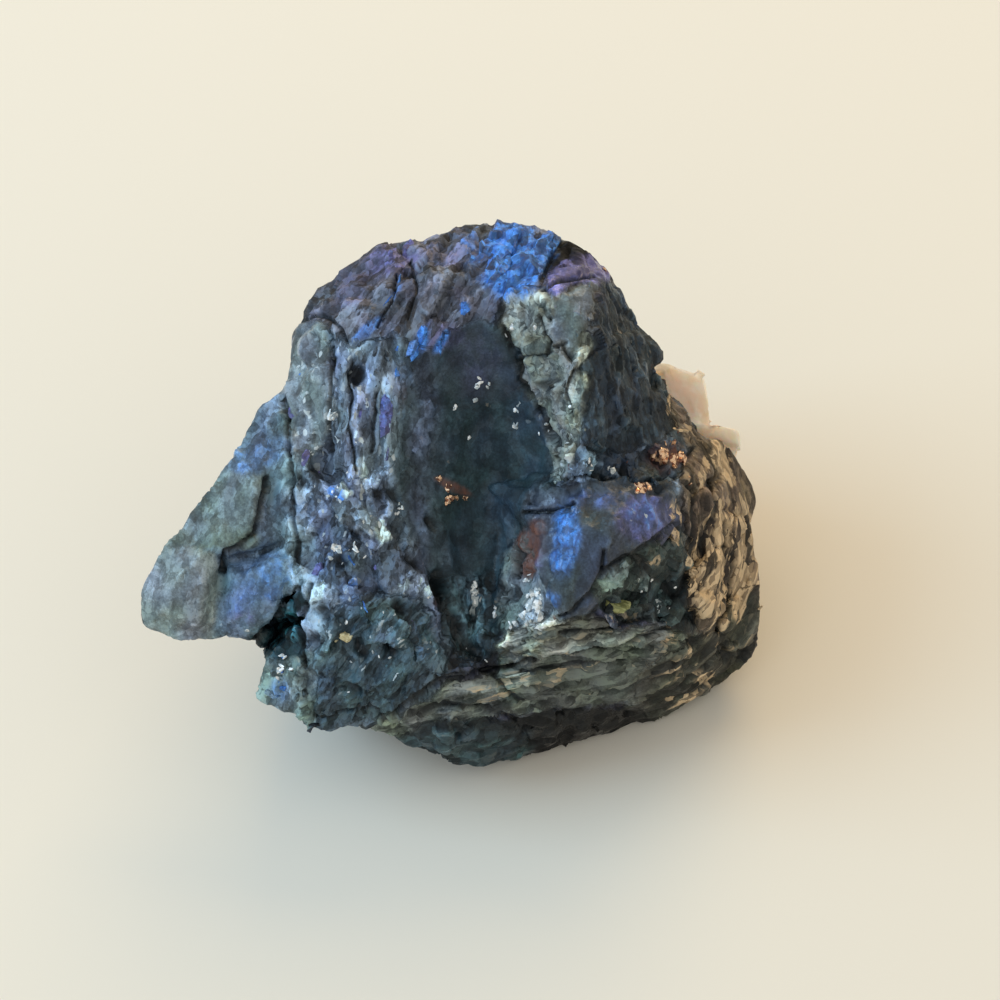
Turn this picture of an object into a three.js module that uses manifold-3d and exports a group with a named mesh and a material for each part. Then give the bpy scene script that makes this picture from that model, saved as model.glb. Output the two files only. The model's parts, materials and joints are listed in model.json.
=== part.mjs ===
// Black tourmaline in quartz: a broken chunk of schorl, about 42 mm across, with a lump of milky
// quartz grown on its rear right shoulder. Millimetres, +Z up, resting on its flat base at Z = 0.
//
// The chunk's broken face slopes back like a steep roof. Its corners are given in the face's own
// plane: across it to the right, up it, and out of it. Two sheets of triangles, the broken face and
// the back, are spanned over the same rim, so together they close one solid. Long edges are then
// halved again and again, and each new corner is pushed a little in or out, as rough as its feature.

import * as THREE from 'three';
import { ConvexGeometry } from 'three/addons/geometries/ConvexGeometry.js';
import { ConvexHull } from 'three/addons/math/ConvexHull.js';
import { mergeVertices } from 'three/addons/utils/BufferGeometryUtils.js';
import Module from 'manifold-3d';

// Driving dimensions, in millimetres and degrees.
const FACE_SLOPE = 38; // the face's rise from level ground
const FACE_CENTRE = new THREE.Vector3(3.1, -5.4, 20.5); // from the middle of the footprint
const SIGHT_DISTANCE = 260; // corners line up as sighted from here, square to the face
const FRONT_EDGE = 1.6; // longest edge left on the broken face
const BACK_EDGE = 2.7; // longest edge left on the back and the base
const SEAT_GAP = 0.3; // clearance between the quartz and its socket in the tourmaline
const GROUND_DEPTH = 30; // thickness of the block that cuts the base flat
const ROUGHNESS_SEED = 20;

// The rim, clockwise from the top of the skyline: [across, up, out].
const RIM = {
  roughness: 0.05,
  corners: [
    [0.0, 18.8, -6.0], [2.8, 18.3, -6.0], [3.9, 17.9, -6.2], [5.2, 17.0, -6.5], [7.1, 15.6, -7.5],
    [8.1, 13.9, -8.0], [8.8, 12.7, -8.5], [9.3, 11.8, -9.0], [10.6, 10.5, -9.0], [11.5, 9.5, -8.6],
    [10.1, 9.2, -8.4], [10.3, 8.4, -7.8], [11.2, 8.2, -7.4], [11.6, 7.3, -7.6], [12.6, 6.5, -8.2],
    [13.3, 5.1, -8.8], [13.9, 4.1, -9.6], [15.0, 4.0, -10.4], [15.8, 3.0, -11.2], [16.6, 1.6, -11.8],
    [17.3, 0.1, -12.2], [16.7, -1.6, -11.6], [17.2, -3.8, -12.0], [17.5, -6.1, -12.2],
    [17.4, -8.7, -12.6], [17.2, -10.3, -13.4], [16.3, -11.3, -14.4], [15.1, -12.3, -15.3],
    [13.6, -13.4, -15.6], [11.6, -14.6, -14.9], [9.5, -15.4, -14.2], [6.8, -16.2, -13.6],
    [4.1, -16.8, -12.9], [1.4, -17.3, -11.2], [-0.7, -17.8, -9.6], [-3.0, -17.9, -8.6],
    [-4.1, -17.3, -7.6], [-6.0, -16.6, -6.8], [-7.2, -15.8, -5.6], [-8.6, -15.4, -4.6],
    [-10.5, -15.2, -3.6], [-11.8, -15.6, -3.4], [-12.9, -15.9, -3.4], [-13.7, -14.4, -3.0],
    [-14.7, -14.3, -3.2], [-16.4, -13.3, -3.4], [-16.1, -11.7, -3.0], [-15.8, -10.5, -3.6],
    [-16.0, -9.9, -5.2], [-17.0, -9.5, -3.0], [-18.6, -9.1, -2.4], [-20.1, -9.4, -2.3],
    [-21.9, -9.5, -2.5], [-24.0, -8.7, -2.6], [-24.3, -7.2, -2.4], [-24.2, -6.0, -2.4],
    [-22.7, -3.5, -2.3], [-21.4, -2.0, -2.5], [-21.1, -1.0, -2.5], [-19.0, 1.7, -2.9],
    [-17.7, 3.2, -3.1], [-17.3, 4.5, -3.3], [-16.4, 6.0, -3.5], [-14.6, 7.3, -3.8], [-14.1, 9.2, -4.2],
    [-13.9, 11.2, -4.5], [-12.8, 13.3, -4.9], [-12.2, 14.3, -5.1], [-10.2, 15.8, -5.3],
    [-8.3, 17.2, -5.5], [-6.8, 17.5, -5.6], [-5.3, 17.5, -5.7], [-3.9, 18.0, -5.9], [-2.2, 18.6, -6.0],
  ],
};

// What lies inside the rim on the broken face, feature by feature.
const FACE_FEATURES = {
  // The mound along the top, in front of the skyline.
  crest: {
    roughness: 0.13,
    corners: [
      [-10.5, 13.8, -2.7], [-9.0, 15.3, -3.0], [-7.3, 16.2, -3.2], [-4.8, 16.4, -3.2],
      [-2.6, 17.2, -3.6], [0.0, 17.5, -3.8], [2.2, 16.9, -3.4], [3.3, 17.5, -4.6], [-11.6, 11.6, -1.7],
      [-9.7, 12.2, -1.0], [-7.8, 13.3, -0.9], [-6.9, 14.8, -1.8], [-5.1, 14.3, -0.8],
      [-3.0, 14.6, -0.7], [-0.7, 15.2, -1.0], [1.2, 14.8, -1.0],
    ],
  },
  // A small smooth facet that falls away at the top right.
  darkTriangle: {
    roughness: 0.03,
    corners: [
      [2.4, 15.2, -1.2], [4.2, 16.1, -3.8], [6.0, 16.2, -5.6],
    ],
  },
  // The narrow bevel under it.
  violetStrip: {
    roughness: 0.03,
    corners: [
      [3.2, 14.3, 0.1], [5.1, 15.4, -2.2], [6.8, 15.2, -5.2],
    ],
  },
  // The rib that stands proud of the hollow and runs down to a point.
  wedge: {
    roughness: 0.10,
    corners: [
      [0.3, 13.4, -0.5], [2.0, 12.8, 0.2], [3.5, 13.6, 0.6], [5.3, 13.6, 0.1], [6.7, 14.1, -1.4],
      [0.3, 11.6, -1.0], [2.4, 11.0, 0.1], [3.8, 11.2, 1.0], [6.0, 12.1, 0.6], [6.8, 10.4, 0.5],
      [1.1, 10.1, -1.6], [3.1, 9.4, 0.6], [4.9, 9.2, 1.9], [1.5, 8.6, -2.2], [6.0, 8.4, 1.6],
      [2.1, 7.2, -2.5], [3.8, 7.1, 0.5], [5.4, 6.5, 1.8], [3.0, 5.9, -2.7], [4.2, 4.9, 0.3],
      [5.7, 4.4, 1.2], [3.3, 4.0, -2.8], [5.0, 2.7, 0.9], [3.9, 2.0, -2.2], [4.4, 1.2, 0.0],
    ],
  },
  // The deep dark hollow in the middle, and the trough that drains it.
  hollow: {
    roughness: 0.07,
    corners: [
      [-3.7, 11.7, -0.8], [-1.7, 12.0, -1.0], [-5.2, 10.1, -0.5], [-2.7, 9.9, -1.9], [-0.5, 9.5, -2.3],
      [-4.6, 7.8, -1.2], [-2.0, 7.3, -2.6], [0.1, 7.0, -3.4], [-4.8, 4.9, -1.6], [-2.0, 4.6, -3.4],
      [1.0, 4.6, -4.3], [-6.7, 6.5, -0.3], [-6.9, 3.4, -0.5], [-4.2, 1.5, -2.5], [-1.0, 1.1, -4.2],
      [1.9, 1.7, -4.4], [-6.0, -0.7, -1.0], [-3.1, -1.9, -3.3], [0.0, -2.0, -4.4], [-4.6, -4.5, -1.6],
      [-2.3, -5.3, -3.4], [-0.5, -5.2, -4.4], [-3.3, -7.2, -2.4], [-1.4, -7.6, -4.4],
      [-2.2, -9.8, -3.4], [-0.7, -10.7, -2.8],
    ],
  },
  // The granular left side of the face.
  granularStrip: {
    roughness: 0.17,
    corners: [
      [-13.4, 10.3, -2.4], [-11.6, 9.0, -0.9], [-9.4, 9.4, -0.4], [-7.9, 11.0, -0.3],
      [-6.1, 11.9, -0.4], [-13.6, 6.9, -2.0], [-11.4, 5.1, -0.5], [-8.7, 6.5, 0.1], [-13.9, 4.1, -1.5],
      [-12.4, 1.5, -0.6], [-10.1, 2.0, 0.2], [-7.8, 1.4, -0.1], [-13.9, -1.4, -1.0],
      [-11.6, -1.9, -0.1], [-9.0, -1.9, 0.5], [-12.9, -4.5, -0.5], [-10.5, -5.6, 0.4],
      [-7.8, -4.8, 0.3], [-6.3, -7.1, -0.1], [-12.6, -8.0, -0.5], [-10.2, -9.5, 0.1], [-7.8, -8.7, 0.4],
      [-5.1, -9.9, -0.3], [-11.6, -12.6, -0.8], [-8.7, -12.9, -0.5], [-6.1, -12.4, -0.7],
    ],
  },
  // The ragged lobe at the lower left.
  leftLobe: {
    roughness: 0.16,
    corners: [
      [-13.5, -10.2, -1.2], [-14.7, -11.4, -2.0], [-14.1, -12.9, -2.0], [-12.9, -14.4, -2.2],
    ],
  },
  // The dark plane to the right of the rib, falling to the right rim.
  rightFacet: {
    roughness: 0.05,
    corners: [
      [10.8, 9.8, -7.9], [7.6, 12.8, -3.2], [7.3, 11.4, -1.4], [9.0, 11.0, -5.0], [7.6, 8.7, -0.6],
      [9.9, 9.7, -6.2], [9.5, 7.9, -4.0], [8.0, 6.0, -0.8], [10.5, 6.5, -4.6], [6.9, 3.7, -0.6],
      [9.4, 4.4, -2.6], [11.4, 4.9, -5.6], [6.8, 2.3, -1.4], [9.5, 2.3, -2.3], [12.0, 2.6, -5.4],
    ],
  },
  // The smooth lump below the hollow, and the cliff and grains at its left foot.
  blueLump: {
    roughness: 0.06,
    corners: [
      [2.1, -0.2, -1.6], [4.2, 0.7, -0.7], [6.8, 1.2, -0.4], [9.5, 1.1, -1.0], [11.7, 0.7, -2.6],
      [3.1, -2.6, 0.2], [5.2, -1.9, 1.5], [7.6, -1.4, 1.5], [9.9, -1.6, 0.2], [11.6, -1.6, -2.4],
      [2.6, -5.3, 0.1], [4.6, -5.7, 1.7], [6.9, -4.6, 1.6], [9.5, -3.9, 0.2], [11.4, -3.8, -2.4],
      [3.5, -7.5, 0.6], [5.7, -7.1, 1.0],
    ],
  },
  lumpFoot: {
    roughness: 0.14,
    corners: [
      [1.4, -1.5, -3.2], [1.0, -4.1, -3.2], [0.4, -6.3, -3.2], [1.6, -7.1, -1.0], [0.5, -8.4, -2.0],
      [2.6, -8.3, -0.5],
    ],
  },
  // The cavity that undercuts the lump on its right.
  cavity: {
    roughness: 0.14,
    corners: [
      [7.2, -6.8, -1.2], [8.7, -6.5, -2.6], [10.6, -5.8, -3.4], [12.2, -5.3, -4.4], [9.1, -7.6, -2.6],
      [11.3, -7.5, -4.2],
    ],
  },
  // Three stepped ledges that sweep round the bottom, one below the other.
  ledges: {
    roughness: 0.10,
    corners: [
      [0.0, -9.7, -1.8], [2.9, -9.5, -0.5], [5.7, -9.0, -0.5], [8.2, -9.0, -1.8], [10.5, -9.2, -3.4],
      [12.6, -9.1, -5.4], [14.7, -9.5, -9.0], [-4.1, -12.0, -0.9], [-1.4, -11.4, -1.5],
      [2.0, -10.7, -1.2], [6.1, -10.3, -1.8], [9.5, -10.5, -4.2], [12.6, -10.5, -7.0],
      [-3.7, -13.1, -2.4], [-1.0, -12.4, -2.6], [2.3, -11.7, -2.6], [6.1, -11.3, -3.4],
      [9.7, -11.7, -6.0], [12.8, -11.8, -9.6], [-6.9, -14.4, -2.4], [-3.4, -14.6, -2.8],
      [0.4, -14.0, -3.6], [4.1, -13.6, -5.2], [7.6, -13.3, -7.4], [10.6, -13.4, -10.4],
      [-4.8, -15.9, -5.0], [-1.0, -16.5, -6.8], [2.7, -15.8, -8.6], [6.8, -15.0, -10.8],
    ],
  },
  // The right flank, striated from top to bottom.
  striatedFlank: {
    roughness: 0.14,
    corners: [
      [13.5, 2.6, -7.2], [14.8, 1.8, -9.4], [12.9, 0.0, -4.8], [14.8, -0.3, -8.2], [16.3, -0.3, -10.8],
      [12.5, -2.9, -3.8], [14.1, -3.1, -6.6], [15.9, -3.3, -10.0], [13.1, -6.1, -4.6],
      [14.7, -6.1, -7.8], [16.5, -6.5, -11.0], [14.0, -8.0, -6.8], [15.9, -8.8, -11.0],
    ],
  },
  // The thin wing on the left: two plates with a groove between them.
  wing: {
    roughness: 0.06,
    corners: [
      [-15.2, 5.1, -2.2], [-16.5, 3.7, -2.0], [-15.2, 2.6, -1.6], [-17.7, 1.5, -1.6],
      [-16.2, 1.8, -1.2], [-18.6, -1.1, -1.3], [-16.7, -0.5, -0.6], [-15.6, -1.0, -1.6],
      [-16.9, -2.7, -0.9], [-19.7, -3.3, -1.0], [-16.2, -3.5, -2.6], [-18.8, -4.2, -2.4],
      [-22.0, -5.2, -0.9], [-20.4, -5.8, -0.6], [-22.8, -7.3, -1.0], [-19.1, -6.0, -2.2],
      [-20.7, -8.0, -0.8], [-19.4, -8.2, -2.0], [-17.7, -5.8, -0.9], [-15.8, -4.5, -0.4],
      [-14.3, -4.1, -0.5], [-18.1, -7.8, -1.1], [-15.9, -6.8, -0.5], [-14.4, -2.7, -1.2],
    ],
  },
  // The deep notch between the wing and the body.
  notch: {
    roughness: 0.05,
    corners: [
      [-13.9, -6.0, -0.7], [-14.1, -6.5, -5.0], [-14.8, -7.1, -0.9], [-15.2, -8.7, -9.5],
      [-16.2, -8.3, -1.3], [-16.9, -9.0, -1.9], [-14.1, -8.2, -8.0], [-13.7, -7.3, -1.0],
      [-13.8, -9.2, -1.6], [-15.4, -9.7, -8.6], [-15.2, -10.5, -2.2],
    ],
  },
};

// The back and the underside, given in the same frame, so their depths are large.
const BACK_FEATURES = {
  // A little below the ground: the base is cut flat from here.
  base: {
    roughness: 0.02,
    corners: [
      [-5.4, -12.9, -16.5], [1.4, -14.6, -15.2], [8.2, -13.6, -16.0], [12.9, -10.5, -18.4],
      [13.6, -6.8, -21.3], [12.9, -4.1, -23.4], [6.8, -1.4, -25.6], [0.0, -1.4, -25.6],
      [-5.4, -3.4, -24.0], [-7.1, -8.8, -19.7], [4.1, -8.2, -20.2], [-1.4, -8.2, -20.2],
    ],
  },
  // The rear wall, from the skyline down to the base.
  rearWall: {
    roughness: 0.09,
    corners: [
      [1.4, 4.1, -25.0], [1.4, 10.2, -20.5], [0.0, 14.3, -14.5], [-5.4, 6.8, -21.5], [6.8, 6.8, -21.0],
      [-6.8, 11.6, -15.5], [6.8, 11.6, -15.0], [12.2, 2.0, -20.0], [10.2, 6.8, -16.0],
      [8.2, 2.7, -24.0], [-3.4, 2.0, -25.0], [4.1, 14.3, -12.5], [-4.1, 15.0, -11.5],
      [15.0, 0.0, -18.0], [15.3, -5.4, -20.0], [15.1, -9.5, -17.5],
    ],
  },
  // The left wall under the broken face.
  leftWall: {
    roughness: 0.10,
    corners: [
      [-10.5, 2.0, -19.0], [-11.2, 6.8, -15.0], [-11.6, 10.2, -13.0], [-11.6, -4.1, -18.0],
      [-12.9, -9.5, -14.5], [-12.2, -12.9, -13.5], [-10.2, -13.9, -12.0], [-8.2, -6.8, -20.5],
      [-8.8, -1.4, -20.5],
    ],
  },
  // The underside of the wing, and the step from it to the body.
  wingUnderside: {
    roughness: 0.07,
    corners: [
      [-14.7, -12.9, -8.5], [-14.7, -9.5, -12.5], [-14.7, -6.8, -12.0], [-14.6, -3.4, -10.5],
      [-14.4, 1.4, -9.0], [-14.3, 5.4, -8.5], [-16.2, -6.8, -6.5], [-16.2, -2.7, -6.5],
      [-16.5, 1.4, -6.0], [-18.7, -6.8, -6.2], [-18.5, -2.7, -6.0], [-21.1, -6.1, -5.4],
      [-22.8, -6.8, -4.8],
    ],
  },
};
// The quartz: flat-faced blocks grown together behind the rim, each the hull of its corners.
const QUARTZ_BLOCKS = {
  upper: [
    [9.9, 9.4, -9.8], [11.4, 9.4, -10.2], [12.2, 8.9, -10.6], [13.9, 8.6, -11.2], [14.1, 7.1, -11.6],
    [14.4, 5.6, -12.0], [13.6, 3.4, -12.2], [10.9, 4.8, -11.2], [9.9, 7.1, -10.2], [8.9, 8.4, -15.8],
    [12.6, 8.5, -17.0], [13.9, 6.8, -17.4], [14.1, 4.1, -18.5], [12.9, 2.0, -19.0], [9.9, 3.4, -18.0],
    [10.8, 6.6, -18.6],
  ],
  lower: [
    [12.9, 5.2, -11.4], [15.1, 5.1, -12.0], [16.2, 4.6, -12.4], [16.1, 3.3, -13.0], [15.5, 2.0, -13.4],
    [13.6, 2.0, -13.0], [13.2, 4.8, -17.0], [15.2, 4.5, -16.8], [16.0, 2.9, -17.4], [15.6, 1.2, -18.4],
    [13.6, 0.6, -18.6],
  ],
  rear: [
    [8.6, 5.2, -16.0], [12.6, 5.6, -16.2], [14.9, 2.4, -16.8], [15.1, -0.6, -18.4], [13.4, -2.6, -20.0],
    [10.2, -2.2, -20.4], [8.2, 1.2, -19.0], [9.4, 4.0, -20.2], [12.2, 4.4, -20.6], [14.2, 1.0, -21.2],
    [11.8, -0.8, -22.6], [10.6, 0.4, -14.8],
  ],
};

const wasm = await Module();
wasm.setup();

const X_AXIS = new THREE.Vector3(1, 0, 0);
const FACE_TURN = THREE.MathUtils.degToRad(FACE_SLOPE);

/** The place of a corner given across, up and out of the face. */
function placed([across, up, out]) {
  const taper = 1 - out / SIGHT_DISTANCE;
  const point = new THREE.Vector3(across * taper, up * taper, out);
  return point.applyAxisAngle(X_AXIS, FACE_TURN).add(FACE_CENTRE);
}

/** A feature's corners, each with its roughness and the longest edge wanted around it. */
function cornersOf(feature, longestEdge) {
  return feature.corners.map((corner) => ({
    across: corner[0],
    up: corner[1],
    point: placed(corner),
    roughness: feature.roughness,
    longestEdge,
  }));
}

/** Whether a point of the face's plane is inside the rim: a line from it crosses the rim oddly. */
function insideRim(across, up, rim) {
  let inside = false;
  rim.forEach((from, index) => {
    const to = rim[(index + 1) % rim.length];
    const crosses = (from.up > up) !== (to.up > up);
    const share = (up - from.up) / (to.up - from.up);
    if (crosses && across < from.across + share * (to.across - from.across)) {
      inside = !inside;
    }
  });
  return inside;
}

/** The triangles spanned over corners inside the rim: Delaunay's, from under their paraboloid. */
function spanned(corners, rim) {
  const lifted = corners.map(({ across, up }) => new THREE.Vector3(across, up, across ** 2 + up ** 2));
  const indexOf = new Map(lifted.map((point, index) => [point, index]));
  const triangles = [];
  for (const face of new ConvexHull().setFromPoints(lifted).faces) {
    const { edge } = face;
    const triangle = [edge.tail(), edge.head(), edge.next.head()].map(({ point }) => indexOf.get(point));
    const across = triangle.reduce((sum, index) => sum + corners[index].across, 0) / 3;
    const up = triangle.reduce((sum, index) => sum + corners[index].up, 0) / 3;
    if (face.normal.z < 0 && insideRim(across, up, rim)) {
      triangles.push(triangle);
    }
  }
  return triangles;
}

/** A stream of numbers between -1 and 1, the same on every run. */
function seededNoise(seed) {
  let state = seed;
  return () => {
    state = (state * 1664525 + 1013904223) % 4294967296;
    return (state / 4294967296) * 2 - 1;
  };
}

/** The outward unit normal of a triangle. */
function normalOf([a, b, c], corners) {
  const first = corners[b].point.clone().sub(corners[a].point);
  const second = corners[c].point.clone().sub(corners[a].point);
  return first.cross(second).normalize();
}

/** The edges longer than their ends want, each with the sum of the normals beside it. */
function longEdges(triangles, corners) {
  const edges = new Map();
  for (const triangle of triangles) {
    const normal = normalOf(triangle, corners);
    triangle.forEach((from, index) => {
      const ends = [from, triangle[(index + 1) % 3]].sort((a, b) => a - b);
      const [a, b] = ends.map((end) => corners[end]);
      const length = a.point.distanceTo(b.point);
      if (length > (a.longestEdge + b.longestEdge) / 2) {
        const key = ends.join();
        const edge = edges.get(key) ?? { a, b, length, normal: new THREE.Vector3() };
        edge.normal.add(normal);
        edges.set(key, edge);
      }
    });
  }
  return edges;
}

/** A new corner in the middle of an edge, pushed in or out by its roughness. */
function middleOf({ a, b, length, normal }, noise) {
  const roughness = (a.roughness + b.roughness) / 2;
  const push = normal.clone().setLength(noise() * roughness * length);
  return {
    point: a.point.clone().add(b.point).multiplyScalar(0.5).add(push),
    roughness,
    longestEdge: (a.longestEdge + b.longestEdge) / 2,
  };
}

/** A triangle parted at those of its edges that have a middle. */
function parted([a, b, c], middles) {
  const middle = (from, to) => middles.get([from, to].sort((p, q) => p - q).join());
  const ab = middle(a, b);
  const bc = middle(b, c);
  const ca = middle(c, a);
  const count = [ab, bc, ca].filter((index) => index !== undefined).length;
  if (count === 0) {
    return [[a, b, c]];
  }
  if (count === 3) {
    return [[a, ab, ca], [ab, b, bc], [ca, bc, c], [ab, bc, ca]];
  }
  if (ab === undefined || (count === 2 && bc === undefined)) {
    return parted([b, c, a], middles);
  }
  if (count === 1) {
    return [[a, ab, c], [ab, b, c]];
  }
  return [[ab, b, bc], [a, ab, bc], [a, bc, c]];
}

/** Halves long edges until none is left, and roughens as it goes. */
function roughened(triangles, corners, noise) {
  const edges = longEdges(triangles, corners);
  if (edges.size === 0) {
    return triangles;
  }
  const middles = new Map();
  for (const [key, edge] of edges) {
    middles.set(key, corners.length);
    corners.push(middleOf(edge, noise));
  }
  return roughened(triangles.flatMap((triangle) => parted(triangle, middles)), corners, noise);
}

/** A closed triangle mesh as a solid that can be joined and cut. */
function solidOf(geometry) {
  geometry.deleteAttribute('normal');
  geometry.deleteAttribute('uv');
  const merged = mergeVertices(geometry);
  const vertProperties = Float32Array.from(merged.attributes.position.array);
  const triVerts = Uint32Array.from(merged.index.array);
  return new wasm.Manifold(new wasm.Mesh({ numProp: 3, vertProperties, triVerts }));
}

/** A named mesh of a solid. */
function meshOf(name, solid, material) {
  const { vertProperties, triVerts } = solid.getMesh();
  const geometry = new THREE.BufferGeometry();
  geometry.setAttribute('position', new THREE.BufferAttribute(vertProperties, 3));
  geometry.setIndex(new THREE.BufferAttribute(triVerts, 1));
  geometry.computeVertexNormals();
  const mesh = new THREE.Mesh(geometry, material);
  mesh.name = name;
  return mesh;
}

/** The whole chunk as it was before its base was cut flat. */
function roughChunk() {
  const rim = cornersOf(RIM, FRONT_EDGE);
  const face = Object.values(FACE_FEATURES).flatMap((feature) => cornersOf(feature, FRONT_EDGE));
  const back = Object.values(BACK_FEATURES).flatMap((feature) => cornersOf(feature, BACK_EDGE));
  const corners = [...rim, ...face, ...back];
  const faceTriangles = spanned([...rim, ...face], rim).map(([a, b, c]) => [a, c, b]);
  const skip = (index) => (index < rim.length ? index : index + face.length);
  const backTriangles = spanned([...rim, ...back], rim).map((triangle) => triangle.map(skip));
  const noise = seededNoise(ROUGHNESS_SEED);
  const triangles = roughened([...faceTriangles, ...backTriangles], corners, noise);
  const geometry = new THREE.BufferGeometry().setFromPoints(corners.map(({ point }) => point));
  geometry.setIndex(triangles.flat());
  return solidOf(geometry);
}

/** The block of ground that the chunk stands in before its base is cut flat. */
function ground() {
  const width = 4 * GROUND_DEPTH;
  return solidOf(new THREE.BoxGeometry(width, width, GROUND_DEPTH).translate(0, 0, -GROUND_DEPTH / 2));
}

/** The corners of a small cube around each point: their hull is the points' hull, grown by a margin. */
function grown(points, margin) {
  const steps = [-margin, margin];
  const offsets = steps.flatMap((x) => steps.flatMap((y) => steps.map((z) => new THREE.Vector3(x, y, z))));
  return points.flatMap((point) => offsets.map((offset) => point.clone().add(offset)));
}

/** The quartz blocks grown together. */
function quartzLump() {
  const blocks = Object.values(QUARTZ_BLOCKS).map((block) => block.map(placed));
  const solids = blocks.map((block) => solidOf(new ConvexGeometry(block)));
  return solids.reduce((joined, solid) => joined.add(solid));
}

/** What the tourmaline leaves free for the quartz: its blocks with the seat gap all round. */
function quartzSocket() {
  const blocks = Object.values(QUARTZ_BLOCKS).map((block) => grown(block.map(placed), SEAT_GAP));
  const solids = blocks.map((block) => solidOf(new ConvexGeometry(block)));
  return solids.reduce((joined, solid) => joined.add(solid));
}

const schorl = new THREE.MeshStandardMaterial({ color: 0x23262e, roughness: 0.5, metalness: 0 });
const milkyQuartz = new THREE.MeshStandardMaterial({ color: 0xe9c8b4, roughness: 0.35, metalness: 0 });

const chunk = roughChunk().subtract(ground()).subtract(quartzSocket());

const part = new THREE.Group();
part.name = 'black_tourmaline_in_quartz';
part.add(meshOf('black_tourmaline', chunk, schorl));
part.add(meshOf('milky_quartz', quartzLump(), milkyQuartz));

export default part;
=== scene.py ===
"""Black tourmaline in quartz: the finished look of a rough chunk with a hollowed, iridescent face.

The chunk's broken face slopes back like a steep roof. Places on it are given in millimetres across
it to the right and up it, from its centre, as they line up when sighted square to the face.
"""

import json
import logging
import math
import random
from dataclasses import dataclass, field, replace
from enum import Enum
from typing import Any, Callable

import bmesh
import bpy
import numpy as np
from mathutils import Matrix, Vector, noise
from mathutils.bvhtree import BVHTree

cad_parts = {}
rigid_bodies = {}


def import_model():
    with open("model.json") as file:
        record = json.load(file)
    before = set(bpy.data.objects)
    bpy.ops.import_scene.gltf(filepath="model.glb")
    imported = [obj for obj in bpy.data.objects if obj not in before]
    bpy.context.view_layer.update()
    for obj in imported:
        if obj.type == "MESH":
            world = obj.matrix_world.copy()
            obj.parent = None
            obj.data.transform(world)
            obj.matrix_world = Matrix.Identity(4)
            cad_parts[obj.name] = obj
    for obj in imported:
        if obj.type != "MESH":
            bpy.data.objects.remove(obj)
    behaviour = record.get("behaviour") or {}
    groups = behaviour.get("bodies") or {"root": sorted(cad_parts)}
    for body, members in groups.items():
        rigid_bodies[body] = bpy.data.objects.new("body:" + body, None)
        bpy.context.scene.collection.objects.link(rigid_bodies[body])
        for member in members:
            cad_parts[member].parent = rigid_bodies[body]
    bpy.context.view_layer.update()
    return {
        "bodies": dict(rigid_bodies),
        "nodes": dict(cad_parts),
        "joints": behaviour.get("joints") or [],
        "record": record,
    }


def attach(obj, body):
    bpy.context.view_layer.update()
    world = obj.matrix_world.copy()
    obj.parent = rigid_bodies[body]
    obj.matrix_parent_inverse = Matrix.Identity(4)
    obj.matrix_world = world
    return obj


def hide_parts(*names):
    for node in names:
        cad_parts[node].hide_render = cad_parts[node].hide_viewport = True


LOG = logging.getLogger("black_tourmaline")
MM = 0.001
HUB_REACH = 9.5
TINY = 1e-9
SHARD_STEEPNESS = 1.5
SHARD_TILT_STEP = 31.0
SHARD_TONE_STEP = 17.0
LEDGE_SWAY = 0.45
LEDGE_SWAY_RUN = 0.6
LEDGE_BREAKS = 0.35
LEDGE_ROW = 3.5
TONE_WEIGHTS = (1.0, 0.5, 0.25)
BORDER_ROOM = 0.5
CRACK_STRAY = 0.35
PIT_LENGTH = 0.3
CRACK_WIDTHS_SEEN = 3
STAIN_FADE = (1.25, 0.45)
GLOSS_SWING = 0.12
MERGE_GAP = 0.002
LIGHTS_AIM = (0, 0, 0.01)

Place = tuple[float, float]
Triple = tuple[float, float, float]
Outline = tuple[Place, ...]
Films = tuple[tuple[str, float], ...]
Socket = bpy.types.NodeSocket
BMesh = bmesh.types.BMesh


@dataclass(frozen=True)
class FaceFrame:
    """The broken face's own directions: across it, up it and out of it, in millimetres."""

    centre: Triple = (3.1, -5.4, 20.5)
    slope: float = math.radians(38)
    sight: float = 260.0

    def across_up_out(self, points: np.ndarray) -> np.ndarray:
        """Measures points in the face's own directions.

        Args:
            points: Places in the row frame, one to a row.

        Returns:
            Across, up and out for each, with what lies behind one sight line lined up.
        """
        x, y, z = (points - np.array(self.centre)).T
        up = y * math.cos(self.slope) + z * math.sin(self.slope)
        out = z * math.cos(self.slope) - y * math.sin(self.slope)
        taper = 1 - out / self.sight
        return np.stack([x / taper, up / taper, out], axis=1)

    def outwards(self) -> Vector:
        """The direction square out of the face."""
        return Vector((0, -math.sin(self.slope), math.cos(self.slope)))

    def upwards(self) -> Vector:
        """The direction straight up the face."""
        return Vector((0, math.cos(self.slope), math.sin(self.slope)))

    def eye(self) -> Vector:
        """The point that everything on the face is sighted from."""
        return Vector(self.centre) + self.outwards() * self.sight

    def on_plane(self, across: float, up: float) -> Vector:
        """The place across and up on the plane through the face's centre."""
        return Vector(self.centre) + Vector((across, 0, 0)) + self.upwards() * up


FACE = FaceFrame()


def smooth_step(values: np.ndarray, low: float, high: float) -> np.ndarray:
    """Rises softly from 0 to 1.

    Args:
        values: What to grade.
        low: Where it is 0.
        high: Where it is 1; it may be under low, to fall instead.

    Returns:
        The graded values.
    """
    share = np.clip((values - low) / (high - low), 0, 1)
    return share * share * (3 - 2 * share)


def distance_to_path(places: np.ndarray, path: Outline, closed: bool = False) -> np.ndarray:
    """How far places lie from a path of straight stretches.

    Args:
        places: Across and up, one place to a row.
        path: The path's corners.
        closed: Whether its end joins its start.

    Returns:
        The distance of each place.
    """
    nearest = np.full(len(places), np.inf)
    ends = path[1:] + path[:1] if closed else path[1:]
    for start, end in zip(path, ends):
        run = np.subtract(end, start)
        share = np.clip((places - start) @ run / max(run @ run, TINY), 0, 1)
        nearest = np.minimum(nearest, np.linalg.norm(places - start - share[:, None] * run, axis=1))
    return nearest


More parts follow.
